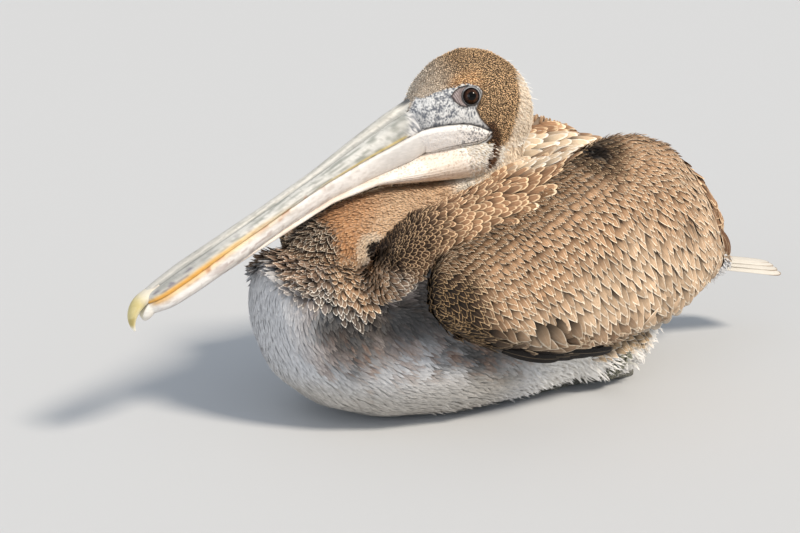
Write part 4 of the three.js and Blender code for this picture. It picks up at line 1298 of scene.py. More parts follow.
# Long feathers: closed thin bodies with a raised shaft and a rounded tip. The first
# dictionary is what a feather has unless it says otherwise, in millimetres.
blade = {"blunt": 0.8, "shaft": 0.5, "thick": 0.5, "camber": 0.12, "level": 1.0}
bladeForm = {
    "rings": 26, "across": [-1, -0.82, -0.5, -0.2, -0.06, 0.06, 0.2, 0.5, 0.82, 1.0], "shaftHalf": 0.1,
    "half": ([0, 0.25, 0.5], [0.55, 0.9, 1.0]), "edge": 0.05 * mm, "crowding": 1.35,
}


def bladeRings(feather):
    root, bend, tip = (np.array(feather[key], float) * mm for key in ("root", "bend", "tip"))
    # rings lie closer together towards the tip
    s = 1 - (1 - np.linspace(0, 1, bladeForm["rings"])) ** bladeForm["crowding"]
    line = (root * ((1 - s) ** 2)[:, None] + bend * (2 * s * (1 - s))[:, None] + tip * (s ** 2)[:, None])
    heads = unit(np.gradient(line, axis=0))
    edges = unit(np.cross(heads, np.array(feather["face"], float)))
    ups = np.cross(edges, heads)
    blunt = feather["blunt"]
    rounding = np.sqrt(np.clip(1 - (np.clip(s - blunt, 0, 1) / (1.004 - blunt)) ** 2, 0, 1))
    half = feather["width"] * mm / 2 * (np.interp(s, *bladeForm["half"]) * rounding) + bladeForm["edge"]
    t = np.array(bladeForm["across"])
    shaft, thick = feather["shaft"] * mm * (1 - s * 0.8), feather["thick"] * mm
    arch = feather["camber"] * half[:, None] * (1 - t[None] ** 2)
    upper = arch + thick / 2 + shaft[:, None] * (np.abs(t) < bladeForm["shaftHalf"])[None]
    lower = arch[:, ::-1] - thick / 2
    across = np.concatenate([t, t[::-1]])
    rise = np.concatenate([upper, lower], 1)
    rings = line[:, None] + edges[:, None] * (half[:, None] * across)[..., None]
    return rings + ups[:, None] * rise[..., None], s, across


def longFeathers(name, feathers, finish, replaced=()):
    points, loops, sizes, tones, rims, lies = [], [], [], [], [], []
    first = 0
    for index, feather in enumerate({**blade, **feather} for feather in feathers):
        rings, s, across = bladeRings(feather)
        rows, columns = rings.shape[:2]
        quads = gridFaces(rows, columns, wrap=True)
        caps = [list(range(columns))[::-1], [(rows - 1) * columns + i for i in range(columns)]]
        points.append(rings.reshape(-1, 3))
        loops += [quads.ravel() + first] + [np.array(cap) + first for cap in caps]
        sizes += [np.full(len(quads), 4), np.array([columns, columns])]
        count = rows * columns
        tone, rim = plumage[feather["paint"]]
        tones.append(np.tile(tone * feather["level"], (count, 1)))
        rims.append(np.tile(rim * feather["level"], (count, 1)))
        lies.append(np.stack([np.repeat(s, columns), np.tile(across * 0.5 + 0.5, rows),
                              np.full(count, (index * 0.37) % 1)], 1))
        first += count
    piece = makeMesh(name, np.vstack(points), np.concatenate(loops), np.concatenate(sizes))
    setColour(piece, "tone", np.vstack(tones))
    setColour(piece, "rim", np.vstack(rims))
    setColour(piece, "lie", np.vstack(lies))
    print(name, len(feathers), "long feathers")
    return finished(piece, finish, replaced)


tail = {
    "count": 7, "spread": 15, "droop": 10.5, "length": 103, "root": (236, 89), "half": 6, "arch": 6.5,
    "shortFar": 0.22, "shortNear": 0.02, "hidden": 22,
    "feather": {"width": 21, "thick": 0.6, "camber": 0.16, "blunt": 0.84, "paint": "tailVane"},
}
fan = []
for k in range(tail["count"]):
    side = (k / (tail["count"] - 1)) * 2 - 1
    turn, fall = math.radians(tail["spread"] / 2) * side, math.radians(tail["droop"])
    reach = tail["length"] * (1 - (tail["shortNear"] if side > 0 else tail["shortFar"]) * abs(side) ** 1.3)
    head = np.array([math.sin(turn), math.cos(turn) * math.cos(fall), -math.sin(fall)])
    root = np.array([tail["half"] * side, tail["root"][0] - tail["hidden"],
                     tail["root"][1] + 3 - tail["arch"] * abs(side) ** 1.5])
    tip = root + head * (reach + 20)
    fan.append({"root": root, "bend": (root + tip) / 2 + np.array([0, 0, 2.0]), "tip": tip,
                "face": np.array([0.22 * side, 0, 1]), **tail["feather"]})
longFeathers("tail_feathers", sorted(fan, key=lambda f: f["root"][2]), tailFinish, ["tail"])

flight = {  # the outer ones lie under the wing's lower edge, the last behind its back edge
    "outer": {"count": 7, "width": 8.5, "face": (1, -0.1, -0.25), "paint": "primary"},
    "inner": {"width": 15, "face": (1, 0.25, -0.1), "paint": "secondary",
              "root": (4, -66, 42), "bend": (9, -26, 12),  # both measured from the tip
              "tips": [(115, 56, 67), (112, 72, 66), (108, 90, 64), (104, 106, 63), (99, 122, 65),
                       (95, 138, 69), (90, 154, 75), (85, 168, 82), (79, 182, 89), (74, 196, 95),
                       (69, 209, 100)]},
    "back": {"width": 12, "face": (1, 0.45, 0.25), "paint": "tertial",
             "root": (6, -58, 34), "bend": (3, -2, 30),
             "tips": [(72, 206, 112), (69, 214, 108), (66, 220, 104)]},
}
for sideName, side in sides:
    rows = []
    for k in range(flight["outer"]["count"]):
        t = k / (flight["outer"]["count"] - 1)
        rows.append({**flight["outer"], "root": (124 - 4 * t, -84 + 9 * k, 74 - 1.6 * k),
                     "bend": (128 - 7 * t, -52 + 10 * k, 60 - 1.1 * k),
                     "tip": (120 - 14 * t, -20 + 11.5 * k, 56 - 1.1 * k + 4 * (k % 2)),
                     "level": 0.7 + 1.6 * (k % 2)})
    for part in ("inner", "back"):
        group = flight[part]
        for k, tip in enumerate(group["tips"]):
            root, bend = (np.add(tip, group[key]) for key in ("root", "bend"))
            level = 0.86 + 0.07 * (k % 3) if part == "inner" else 1.0
            rows.append({**group, "root": root, "bend": bend, "tip": tip, "level": level})
    for feather in rows:
        for key in ("root", "bend", "tip", "face"):
            feather[key] = np.multiply(feather[key], [side, 1, 1])
    longFeathers(f"flight_{sideName}", rows, longFinish, [f"flight_feathers_{sideName}"])


# Bill: rings across its own frame, forward negative, 30 degrees below level.
bill = {
    "pitch": 30, "base": np.array([0, -100, 272]) * mm, "rings": 250, "back": 22, "front": -290,
    "y": [22, 2, -25, -66, -110, -160, -215, -250, -275, -290],
    "half": [16, 16, 16.5, 14.5, 13, 13, 14.5, 15.2, 13.8, 9.3],
    "top": [-3, -1, 1, 1, 0, 2, 5.5, 8, 8, 7],
    "edge": [-31, -27, -22, -16, -11, -8, -4.5, -3.5, -2.5, -1],
    "under": [-52, -50, -48, -38, -29, -24.5, -22.5, -20.5, -18, -13],
    # half a cross-section, out from the middle as a share of half, up as a share of the height
    "roof": [(1, 0), (1.005, 0.07), (1, 0.16), (0.975, 0.27), (0.935, 0.38), (0.87, 0.49), (0.78, 0.585),
             (0.68, 0.655), (0.58, 0.705), (0.5, 0.735), (0.445, 0.735), (0.41, 0.70), (0.38, 0.70),
             (0.355, 0.76), (0.33, 0.85), (0.28, 0.925), (0.2, 0.972), (0.1, 0.994), (0, 1)],
    "palate": [(-0.94, -0.04), (-0.8, 0.05), (-0.4, 0.08), (0, 0.09), (0.4, 0.08), (0.8, 0.05),
               (0.94, -0.04)],
    "groove": 0.405, "ridge": 0.33, "gap": 0.3, "inset": 0.7, "archSides": 30, "floorSides": 7,
    "fineRings": 625, "easing": 22,
    "knob": 10, "knobRings": 14, "knobLevel": -8.0, "knobDrop": 3.5,
    "lowerTones": {"horn": "f1eeeb", "streak": "dcd6d1", "pit": "b9aca4", "yellow": "e2b766", "rust": "a8692f",
                   "mauve": "8b6a63", "tipYellow": "c9973f", "tip": "e6e3dc", "root": "d4d3d2",
                   "keel": "b7ada3"},
    "upperTones": {"horn": "cbcbc7", "streak": "92958f", "front": "a0a19f", "root": "7f827f",
                   "groove": "6c716f", "ridge": "dad6cd", "pit": "8b8a86", "yellow": "e3bb63",
                   "amber": "d2922f", "rust": "a8692f", "plum": "66606f", "edge": "c9b04e", "skin": "6d727c",
                   "flake": "dedede", "seam": "33373f"},
}
billY = np.linspace(bill["back"], bill["front"], bill["rings"])
billFine = np.linspace(bill["back"], bill["front"], bill["fineRings"])


def billValue(field):  # a bill measure at every ring, eased between the stations
    table = smoothed(np.interp(-billFine, -np.array(bill["y"], float), bill[field]), bill["easing"])
    return np.interp(-billY, -billFine, table)


def billWorld(points):
    a = math.radians(bill["pitch"])
    x, y, z = (points[..., i] * mm for i in range(3))
    turned = [x, y * math.cos(a) - z * math.sin(a), y * math.sin(a) + z * math.cos(a)]
    return np.stack(turned, -1) + bill["base"]


half, top, edge, under = (billValue(field) for field in ("half", "top", "edge", "under"))
half = half * np.sqrt(np.clip((billY + 296) / 12, 0.05, 1))


def fieldOver(points, stretch, size, seed):  # a smooth random field over a grid of points
    return mottle(points.reshape(-1, 3) * stretch, size, seed).reshape(points.shape[:-1])


def billColours(points, isUpper):
    tones = bill["upperTones" if isUpper else "lowerTones"]
    x, y, z = (points[..., i] for i in range(3))
    level = (z - np.interp(-y, -billY, edge)) / np.interp(-y, -billY, top - edge)
    out = np.abs(x) / np.interp(-y, -billY, half)
    long = fieldOver(points, [0.7, 0.05, 1.4], 1.0, 31)
    pits = fieldOver(points, [1, 0.5, 1.2], 1.1, 32)
    fleck = fieldOver(points, [0.5, 0.22, 0.9], 1.5, 36 if isUpper else 37)
    if not isUpper:
        fleck = step(0.58, 0.74, fleck)
        return layered(
            paint(tones["horn"]),
            (tones["streak"], step(0.45, 0.8, long) * step(-30, -80, y)),
            (tones["pit"], step(0.7, 0.9, pits) * 0.3 * step(-20, -60, y)),
            (tones["yellow"], step(-0.55, -0.12, level) * step(-120, -215, y) * 0.8),  # towards the tip
            (tones["rust"],
             fleck * step(-90, -140, y) * step(-275, -250, y) * step(-0.62, -0.3, level) * 0.7),
            (tones["mauve"],
             fleck * step(-262, -215, y) * step(-90, -130, y) * step(-0.4, -0.8, level) * 0.5),
            (tones["tipYellow"], step(-262, -282, y) * step(-0.9, -0.2, level) * 0.6),
            (tones["tip"], step(-285, -292, y)),
            (tones["root"], step(-86, -30, y) * 0.85),
            (tones["keel"], step(-0.85, -1.3, level) * 0.35)).reshape(-1, 3)
    fleck = step(0.6, 0.76, fleck)
    wash = step(-110, -230, y) * step(0.5, 0.16, level + 0.12 * (long - 0.5) + 0.16 * step(-200, -110, y))
    flake = 1 - np.abs(2 * fieldOver(points, 1, 1.9, 35) - 1)
    blot = fieldOver(points, [0.3, 0.12, 0.3], 1.4, 33)
    # flaking skin at the base
    joint = step(17, 3, 1.35 * z + 11 - y + 9 * (blot - 0.5)) * step(1.0, 0.8, level)
    return layered(
        paint(tones["horn"]),
        (tones["streak"], step(0.45, 0.8, long)),
        (tones["front"], step(-190, -240, y) * 0.65),
        (tones["root"], step(-48, -14, y) * step(0.95, 0.5, level) * 0.6),
        (tones["groove"], near(out - bill["groove"], 0.055) * 0.8),
        (tones["ridge"], (out < bill["ridge"]) * 0.45),
        (tones["pit"], step(0.62, 0.85, pits) * 0.4),
        (tones["yellow"], wash * 0.8),
        (tones["amber"], wash * step(-190, -250, y) * step(0.42, 0.1, level) * 0.75),
        (tones["rust"], fleck * step(-70, -120, y) * step(-262, -240, y) * step(0.22, 0.08, level) * 0.8),
        (tones["plum"],
         fleck * step(-150, -235, y) * step(0.3, 0.42, level) * step(0.75, 0.55, level) * 0.75),
        (tones["edge"], near(level - 0.07, 0.06) * step(-8, -30, y) * step(-130, -90, y) * 0.75),
        (blend(paint(tones["skin"]), paint(tones["flake"]), step(0.6, 0.9, flake)), joint),
        (tones["seam"], step(-17, -3, y) * step(0.84, 0.97, level) * 0.9)).reshape(-1, 3)


def hornFinish(name, roughness, streaks):
    material, wire = newFinish(name)
    spot = wire.place((1, 0.16, 0.6), (math.radians(-bill["pitch"]), 0, 0))
    grain = wire.noise(spot, 900.0, 4.0)
    wear = wire.noise(wire.place(), 120.0, 3.0)
    level = 1 + (grain - 0.5) * streaks + (wear - 0.5) * 0.25
    closeFinish(wire, attribute(wire, "tone").shade(level), wear * 0.25 + roughness,
                grain * 0.6 + wear * 0.5, 0.0002)
    return material


def billHalf(name, rings, isUpper, node):
    piece = tubeMesh(name, billWorld(rings))
    ends = np.array([rings[0].mean(0), rings[-1].mean(0)])
    setColour(piece, "tone", np.vstack([billColours(rings, isUpper), billColours(ends[None], isUpper)]))
    return finished(piece, hornMaterial, [node])


def billSections(section, wide, middle, tall):  # one section at every ring, fitted to its width and height
    rings = np.zeros((len(billY), len(section), 3))
    rings[..., 0] = wide[:, None] * section[:, 0]
    rings[..., 1] = billY[:, None]
    rings[..., 2] = middle[:, None] + tall[:, None] * section[:, 1]
    return rings


hornMaterial = hornFinish("bill horn", 0.36, 0.35)
roof = np.array(bill["roof"])
section = np.vstack([roof, roof[::-1][1:] * [-1, 1], bill["palate"]])
upper = billSections(section, half, edge, top - edge)
upper[..., 0] *= 1 + 0.012 * (fieldOver(upper, [0.35, 0.06, 0.35], 1.0, 21) - 0.5)
billHalf("bill_upper_horn", upper, True, "bill_upper")

angle = np.linspace(0, math.pi, bill["archSides"])
arc = np.stack([np.sign(np.cos(angle)) * np.abs(np.cos(angle)) ** 0.7, -np.sin(angle) ** 0.72], 1)
floorRow = np.stack([np.linspace(-0.93, 0.93, bill["floorSides"]), np.full(bill["floorSides"], -0.03)], 1)
lowerTop = edge - bill["gap"]
lower = billSections(np.vstack([arc, floorRow]), half - bill["inset"], lowerTop, lowerTop - under)
# the lower half ends in a blunt pale knob under the nail
knobTurn = np.linspace(0, 0.97 * math.pi / 2, bill["knobRings"])[1:, None]
knobSize = np.cos(knobTurn) ** 0.8
knob = np.repeat(lower[-1][None], len(knobTurn), 0)
knob[..., 0] *= knobSize
knob[..., 1] = bill["front"] - bill["knob"] * np.sin(knobTurn)
knob[..., 2] = (bill["knobLevel"] + (knob[..., 2] - bill["knobLevel"]) * knobSize
                - bill["knobDrop"] * np.sin(knobTurn))
billHalf("bill_lower_horn", np.concatenate([lower, knob]), False, "bill_lower")

# Nail: a hooked shield over the tip, its flat back lying on the bill.
nail = {
    "reach": 20, "drop": 24, "half": 6.5, "rings": 60, "sides": 36, "back": 16, "start": -290.3, "level": 2.0,
    "backShare": 0.2, "hook": 84, "rise": 5.4, "fall": 5.2,
    "tone": "d9d3c3", "yellowTone": "cfc188", "underTone": "e9e0b8", "oliveTone": "a08a3c",
    "plumTone": "8d8792", "tipTone": "fbf6e6", "endTones": ("cdc6b2", "f0e6cf"),
}
a = np.linspace(0, 2 * math.pi, nail["sides"], endpoint=False)
rings = []
for k in range(nail["rings"]):
    u = (k / (nail["rings"] - 1) - nail["backShare"]) / (1 - nail["backShare"])
    if u < 0:
        centre = np.array([0, nail["start"] + (-u) / 0.25 * nail["back"], nail["level"]])
        turn, thin, wide = 0.0, 1.0, nail["half"] * (1.15 + 0.4 * u)
    else:
        centre = np.array([0, nail["start"] - nail["reach"] * math.sin(math.pi / 2 * u),
                           nail["level"] - (nail["drop"] - 6) * (1 - math.cos(math.pi / 2 * u))])
        turn, thin = math.radians(nail["hook"]) * u ** 1.15, 1 - 0.84 * u ** 1.6
        wide = nail["half"] * (1.15 - 0.97 * u * u)
    rise = np.where(np.sin(a) > 0, nail["rise"], nail["fall"]) * thin * np.sin(a)
    rings.append(centre + np.outer(np.cos(a) * wide, [1, 0, 0])
                 + np.outer(rise, np.array([0, -math.sin(turn), math.cos(turn)])))
rings = np.array(rings)
piece = tubeMesh("bill_nail_horn", billWorld(rings))
share = np.repeat(np.linspace(0, 1, nail["rings"])[:, None], nail["sides"], 1)
inner = step(0.35, -0.5, np.tile(np.sin(a), (nail["rings"], 1)))
cloud, stain = fieldOver(rings, 1, 4.0, 44), fieldOver(rings, [1, 0.5, 1], 2.2, 45)
colour = layered(
    paint(nail["tone"]),
    (nail["yellowTone"], step(0.12, 0.4, share)),
    (nail["underTone"], inner * step(0.3, 0.5, share) * 0.8),
    (nail["oliveTone"], step(0.5, 0.8, cloud) * 0.55 * step(0.3, 0.6, share) * (1 - inner)),
    (nail["plumTone"], step(0.6, 0.8, stain) * 0.5 * step(0.35, 0.15, share)),
    (nail["tipTone"], step(0.8, 0.97, share)))
ends = [paint(code) for code in nail["endTones"]]
setColour(piece, "tone", np.vstack([colour.reshape(-1, 3), *ends]))
finished(piece, hornFinish("nail horn", 0.3, 0.2), ["bill_nail"])

# Pouch: a folded bag of bare skin under the lower half of the bill.
pouch = {
    "y": [-240, -232, -160, -110, -66, -35, -5, 18, 36, 54], "half": [3, 7, 9, 11, 15, 20, 24, 27, 27, 22],
    "top": [-16, -15, -22, -27, -36, -44, -50, -54, -58, -62],
    "low": [-21, -22.5, -28, -32, -45, -65, -84, -98, -107, -114],
    "rings": 220, "sides": 132, "fineRings": 590, "easing": 18,
    "pleats": 15, "pleatDepth": 0.8, "wander": 4.5, "fineDepth": 0.35,
    "tone": "f2ebe3", "foldTone": "9c8573", "speckTone": "a99784", "warmTone": "d9bfa6",
}
pouchFine = np.linspace(pouch["y"][0], pouch["y"][-1], pouch["fineRings"])
pouchY = np.linspace(pouch["y"][0], pouch["y"][-1], pouch["rings"])
half, top, low = (
    np.interp(pouchY, pouchFine, smoothed(np.interp(pouchFine, pouch["y"], pouch[key]), pouch["easing"]))
    for key in ("half", "top", "low"))
middle, tall = (top + low) / 2, (top - low) / 2
a = np.linspace(0, 2 * math.pi, pouch["sides"], endpoint=False)
bag = np.zeros((pouch["rings"], pouch["sides"], 3))
bag[..., 0] = half[:, None] * np.cos(a)
bag[..., 1] = pouchY[:, None]
bag[..., 2] = middle[:, None] + tall[:, None] * np.sin(a)
wander = fieldOver(bag, [0.3, 0.5, 0.3], 9.0, 51) - 0.5
fold = np.abs(np.sin(np.sin(a)[None] * pouch["pleats"] + wander * pouch["wander"])) ** 0.8
slack = step(-236, -150, pouchY) * (1 - 0.75 * step(-60, 10, pouchY))
loose = step(0.75, -0.4, np.sin(a))[None] * slack[:, None]
push = ((fold - 0.6) * pouch["pleatDepth"] * (0.15 + 0.85 * loose)
        + (fieldOver(bag, [1, 0.25, 1], 1.3, 52) - 0.5) * pouch["fineDepth"])
grow = 1 + push / np.maximum(np.hypot(half, tall), 4)[:, None]
bag[..., 0] *= grow
bag[..., 2] = middle[:, None] + (bag[..., 2] - middle[:, None]) * grow
piece = tubeMesh("pouch_skin", billWorld(bag))
speck = fieldOver(bag, 1, 0.95, 53)
rearward = step(-110, -40, pouchY)[:, None]
colour = layered(
    paint(pouch["tone"]),
    # darker in the troughs of the pleats, as painted shade in the creases, most on the loose underside
    (pouch["foldTone"], (1 - fold) ** 2 * 0.85 * (0.08 + 0.92 * loose)),
    (pouch["speckTone"], step(0.58, 0.8, speck) * rearward * 0.75 * (1 - 0.6 * loose)),
    (pouch["warmTone"], step(0.5, 0.75, wander + 0.5) * 0.3))
setColour(piece, "tone", np.vstack([colour.reshape(-1, 3), paint(pouch["tone"]), paint(pouch["tone"])]))
material, wire = newFinish("pouch skin")
grain = wire.noise(wire.place((1, 0.5, 1)), 700.0, 4.0)
crease = wire.noise(wire.place((0.4, 1, 1)), 1600.0, 2.0)
closeFinish(wire, attribute(wire, "tone").shade(1 + (grain - 0.5) * 0.4), 0.55, grain + crease * 0.5, 0.0003)
finished(piece, material, ["pouch"])

# Fine tufts where the throat's feathers run out on to the pouch.
throatTufts = {
    "count": 3600, "front": 6, "full": 30, "tone": "fff0da", "length": 5.5 * mm, "width": 1.4 * mm,
    "shape": "speck", "rootHeight": -0.1 * mm, "tipHeight": 1.3 * mm, "turn": 12, "uneven": 0.15,
    "ruffle": 0.3, "twist": 8, "camber": 0.3, "flat": True, "cheek": [(-25, 229), (-29, 221), (-33, 214)],
}
bagPoints, bagCorners = pointsOf(piece), trianglesOf(piece)
bagSurface = Surface(bagPoints, bagCorners, vertexNormals(bagPoints, bagCorners))
lean = math.radians(bill["pitch"])
back = (bagSurface.centres - bill["base"]) @ np.array([0, math.cos(lean), math.sin(lean)]) / mm
ragged = back + 10 * (mottle(bagSurface.centres, 5 * mm, 54) - 0.5)
likely = bagSurface.areas * step(throatTufts["front"], throatTufts["full"], ragged)
outward = np.sign(dot(bagSurface.faceNormals, bagSurface.centres - bagSurface.centres.mean(0)).mean())
picks = np.random.default_rng(55).choice(len(likely), throatTufts["count"], p=likely / likely.sum())
roots = bagSurface.centres[picks]
grown = step(throatTufts["front"] - 8, throatTufts["full"], back[picks])
cheekAway, _ = toLine(roots[:, 1:] / mm, throatTufts["cheek"])
dark = step(6.5, 3, cheekAway + 2 * (mottle(roots, 3 * mm, 57) - 0.5))
piece = layFeathers("throat_tufts", roots, bagSurface.faceNormals[picks] * outward,
                    np.tile([0, 0.85, -0.5], (len(picks), 1)), throatTufts["length"] * (0.35 + 0.65 * grown),
                    np.full(len(picks), throatTufts["width"]),
                    blend(paint(throatTufts["tone"]), plumage["cheek"][0], dark),
                    blend(plumage["throat"][1], plumage["cheek"][1], dark), throatTufts, 56, headMap)
finished(piece, downFinish)
print("bill and pouch made")


# Eyes: a ball with the iris and pupil as rings round the line it looks along.
eyeFinish, wire = newFinish("eye")
fibres = wire.noise(wire.place(), 1800.0, 3.0)
closeFinish(wire, attribute(wire, "tone").shade(1 + (fibres - 0.5) * 0.5), 0.3,
            **{"Specular IOR Level": 0.0, "Coat Weight": 0.9, "Coat IOR": 1.33, "Coat Roughness": 0.06})
for sideName, side in sides:
    look = unit(eye["look"] * [side, 1, 1])
    across = unit(np.cross(look, [0, 0, 1.0]))
    above = np.cross(across, look)
    theta = np.linspace(0.004, math.pi - 0.004, eye["rings"])
    phi = np.linspace(0, 2 * math.pi, eye["sides"], endpoint=False)
    bulge = 1 + eye["bulge"] * np.exp(-(theta / eye["bulgeAngle"]) ** 4)
    ring = across * np.cos(phi)[:, None] + above * np.sin(phi)[:, None]
    direction = look * np.cos(theta)[:, None, None] + ring[None] * np.sin(theta)[:, None, None]
    centre = eye["centre"] * [side, 1, 1]
    ball = centre + direction * (eye["radius"] * bulge)[:, None, None]
    piece = tubeMesh(f"eyeball_{sideName}", ball)
    rho = np.repeat(np.sin(theta) * eye["radius"] + (theta > math.pi / 2) * 0.02, len(phi))
    rays = [np.tile(np.cos(phi) * 9, len(theta)), np.tile(np.sin(phi) * 9, len(theta)), rho / mm * 0.5]
    colour = layered(
        paint(eye["irisTone"]),
        (eye["rayTone"], step(0.4, 0.7, mottle(np.stack(rays, 1), 1.0, 61)) * 0.7),
        (eye["pupilTone"], step(eye["pupil"] + 0.25 * mm, eye["pupil"] - 0.1 * mm, rho)),
        (eye["edgeTone"], step(eye["iris"] - 1.5 * mm, eye["iris"] - 0.4 * mm, rho)))
    setColour(piece, "tone", np.vstack([colour, paint(eye["pupilTone"]), paint(eye["edgeTone"])]))
    finished(piece, eyeFinish, [f"eye_{sideName}"])

# Legs, feet and claws.
feet = {
    "voxel": 1.1 * mm, "swell": 0.3 * mm, "clawVoxel": 0.35 * mm, "scaleCount": 420.0,
    "darkTone": "77766c", "lightTone": "9b998d", "seamTone": "3f3e39", "clawDark": "2a2724",
    "clawLight": "4c4640",
}
footFinish, wire = newFinish("foot scales")
scales = wire.add("ShaderNodeTexVoronoi", {"feature": "DISTANCE_TO_EDGE"},
                  {"Vector": wire.place(), "Scale": feet["scaleCount"]})
blot = wire.noise(wire.place(), 90.0, 3.0)
gap = 1 - scales.ramp(0.02, 0.16)
colour = blot.ramp(0.35, 0.65).mix(paint(feet["darkTone"]), paint(feet["lightTone"]))
colour = (gap * 0.75).mix(colour, paint(feet["seamTone"]))
closeFinish(wire, colour, 0.5, scales.ramp(0.0, 0.25) + blot * 0.2, 0.0006)
clawFinish, wire = newFinish("claw horn")
grain = wire.noise(wire.place(), 700.0, 3.0)
colour = grain.ramp(0.3, 0.7).mix(paint(feet["clawDark"]), paint(feet["clawLight"]))
closeFinish(wire, colour, 0.35, grain, 0.0002)
for sideName, _ in sides:
    legNodes = [f"leg_{sideName}", f"foot_{sideName}"]
    piece = remeshed(joinedNodes(f"foot_skin_{sideName}", legNodes, feet["swell"]), feet["voxel"], 3)
    keepLargest(piece)
    shadeSmooth(piece)
    finished(piece, footFinish, legNodes)
    clawNodes = [f"claw_{toe}_{sideName}" for toe in ("hind", "inner", "middle", "outer")]
    piece = remeshed(joinedNodes(f"claws_{sideName}", clawNodes, 0.0), feet["clawVoxel"], 2)
    shadeSmooth(piece)
    finished(piece, clawFinish, clawNodes)
print("eyes and feet made")


# Skin colours: the coat's own markings, darkened between the feathers as painted shade, and the bare face.
faceLook = {
    "base": "5d626c", "flake": "dcdddd", "shade": "50545c", "mandible": "f1eeeb", "speck": "6a6c73",
    "mouth": "25221f", "rope": "e9e5e1", "jaw": "2e2a28", "flesh": "a39494", "ring": "b4b6ba",
    "outline": "120d0b", "rear": "241a15",
}
skinTone, skinRim = markings(skinPoints, skinNormals, skinOwner)
# painted shade on the skin seen between the feathers, deeper under the wing, lighter under the palest feathers
gapShade = 0.62 - 0.3 * isNode(skinOwner, "wing") + 0.25 * (skinTone.min(1) > 0.45)
skinColour = blend(skinTone, skinRim, 0.25) * gapShade[:, None]
spot = faceSpot(skinPoints)
y, z = spot[:, 0], spot[:, 1]
folds, specks, blots = faceFolds(skinPoints), mottle(skinPoints, 1.15 * mm, 11), mottle(skinPoints, 6 * mm, 12)
over = z - np.interp(y, *np.transpose(face["mouth"]))
between = insideOutline(spot, face["mouth"] + face["jaw"][::-1])
opened = insideOutline(spot, face["opening"])
mouthAway, jawAway, openAway, rearAway = (
    toLine(spot, line)[0] for line in (face["mouth"], face["jaw"], face["opening"] + face["opening"][:1],
                                       face["bare"][9:17]))
disc = discOf(skinPoints)[0] / mm
pleat = 0.5 + 0.5 * np.sin(y * 3.1 + z * 1.6 + 5 * (blots - 0.5))
overEye = step(-5, 3, z - eye["centre"][2] / mm + 0.9 * (y - eye["centre"][1] / mm))
mandible = blend(paint(faceLook["mandible"]), paint(faceLook["speck"]),
                 step(0.52, 0.72, specks) * step(-74, -54, y) * 0.85)
flesh = blend(paint(faceLook["flesh"]), paint(faceLook["rear"]), pleat ** 1.5 * 0.75)
faceColour = layered(
    paint(faceLook["base"]),
    (faceLook["flake"], step(0.46, 0.92, folds)),
    (faceLook["shade"], step(7.5, 0.5, over) * step(-0.5, 0.5, over) * (0.35 + 0.45 * (folds < 0.5))),
    (faceLook["shade"], step(-88, -99, y) * step(266, 256, z) * 0.5),
    (mandible, between * 1.0),
    (faceLook["rope"], step(0.2, 0.7, jawRope(spot))),
    (faceLook["jaw"], near(jawAway - 3.5, 0.55) * between * step(-86, -78, y) * 0.8),
    (faceLook["mouth"], near(mouthAway, 0.7) * 0.95),
    (faceLook["jaw"], near(jawAway, 0.75) * 0.95),
    (flesh, opened * step(8.0, 8.8, disc) * 0.95),
    (faceLook["outline"], near(disc - 8.6, 0.4) * 0.7),
    (faceLook["outline"], near(openAway, 0.95) * step(8.3, 8.9, disc) * 0.95),
    (faceLook["outline"], step(8.9, 8.5, disc) * 0.9),
    (faceLook["ring"], near(disc - 7.95, 0.4) * (0.12 + 0.83 * overEye)),
    (faceLook["outline"], step(7.6, 7.2, disc)),
    (faceLook["rear"], near(rearAway, 0.9) * 0.95))
setColour(skinPiece, "tone", blend(skinColour, faceColour, bareShare(skinPoints) * onHead(skinPoints)))
material, wire = newFinish("bare skin")
grain = wire.noise(wire.place(), 1300.0, 4.0)
crease = wire.noise(wire.place((0.5, 1, 1.6)), 500.0, 3.0)
closeFinish(wire, attribute(wire, "tone").shade(1 + (grain - 0.5) * 0.5), 0.62,
            grain * 0.6 + crease * 0.6, 0.0003)
finished(skinPiece, material, skin["nodes"])
print("skin coloured")


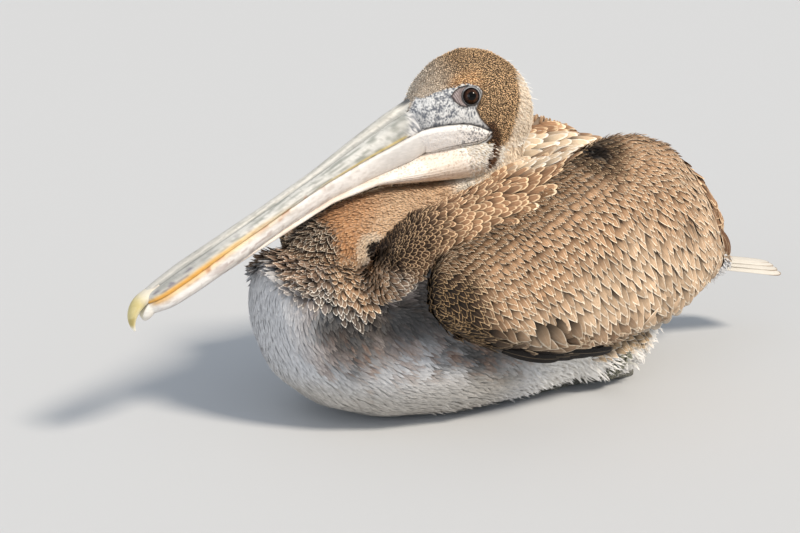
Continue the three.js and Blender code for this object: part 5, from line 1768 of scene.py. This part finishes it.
# Camera, floor and light.
view = {"place": (1.234, -0.879, 0.486), "azimuth": 58.0, "elevation": 14.0, "lens": 76.5, "sensor": 36}
camera = bpy.data.objects.new("camera", bpy.data.cameras.new("camera"))
bpy.context.scene.collection.objects.link(camera)
a, e = math.radians(view["azimuth"]), math.radians(view["elevation"])
back = Vector((math.sin(a) * math.cos(e), -math.cos(a) * math.cos(e), math.sin(e)))
camera.location = view["place"]
camera.rotation_mode = "QUATERNION"
camera.rotation_quaternion = (-back).to_track_quat("-Z", "Y")
camera.data.lens, camera.data.sensor_width = view["lens"], view["sensor"]
bpy.context.scene.camera = camera

room = {"tint": "dfe6ee", "strength": 0.62, "floorTint": "c9ccd0", "floorHalf": 6}
floorMesh = bpy.data.meshes.new("floor")
corners = [(x * room["floorHalf"], y * room["floorHalf"], 0) for x, y in ((-1, -1), (1, -1), (1, 1), (-1, 1))]
floorMesh.from_pydata(corners, [], [(0, 1, 2, 3)])
floor = bpy.data.objects.new("floor", floorMesh)
bpy.context.scene.collection.objects.link(floor)
floorFinish, wire = newFinish("pale floor")
closeFinish(wire, (*paint(room["floorTint"]), 1), 0.8)
floor.data.materials.append(floorFinish)

light = {
    "key": {"from": (0.86, 0.34, 0.96), "spread": 13, "strength": 3.2, "tint": "fff2e0"},
    "fill": {"from": (0.6, -1.3, 0.22), "spread": 45, "strength": 1.15, "tint": "e9edf3"},
}
for name, lamp in light.items():
    data = bpy.data.lights.new(name, "SUN")
    data.angle, data.energy = math.radians(lamp["spread"]), lamp["strength"]
    data.color = tuple(paint(lamp["tint"]))
    holder = bpy.data.objects.new(name, data)
    holder.rotation_mode = "QUATERNION"
    holder.rotation_quaternion = (-Vector(lamp["from"])).to_track_quat("-Z", "Y")
    holder.location = Vector(lamp["from"])
    bpy.context.scene.collection.objects.link(holder)
world = bpy.data.worlds.new("room")
world.use_nodes = True
world.node_tree.nodes["Background"].inputs[0].default_value = (*paint(room["tint"]), 1)
world.node_tree.nodes["Background"].inputs[1].default_value = room["strength"]
bpy.context.scene.world = world
bpy.context.scene.view_settings.view_transform = "Standard"
print("camera, floor and light placed")
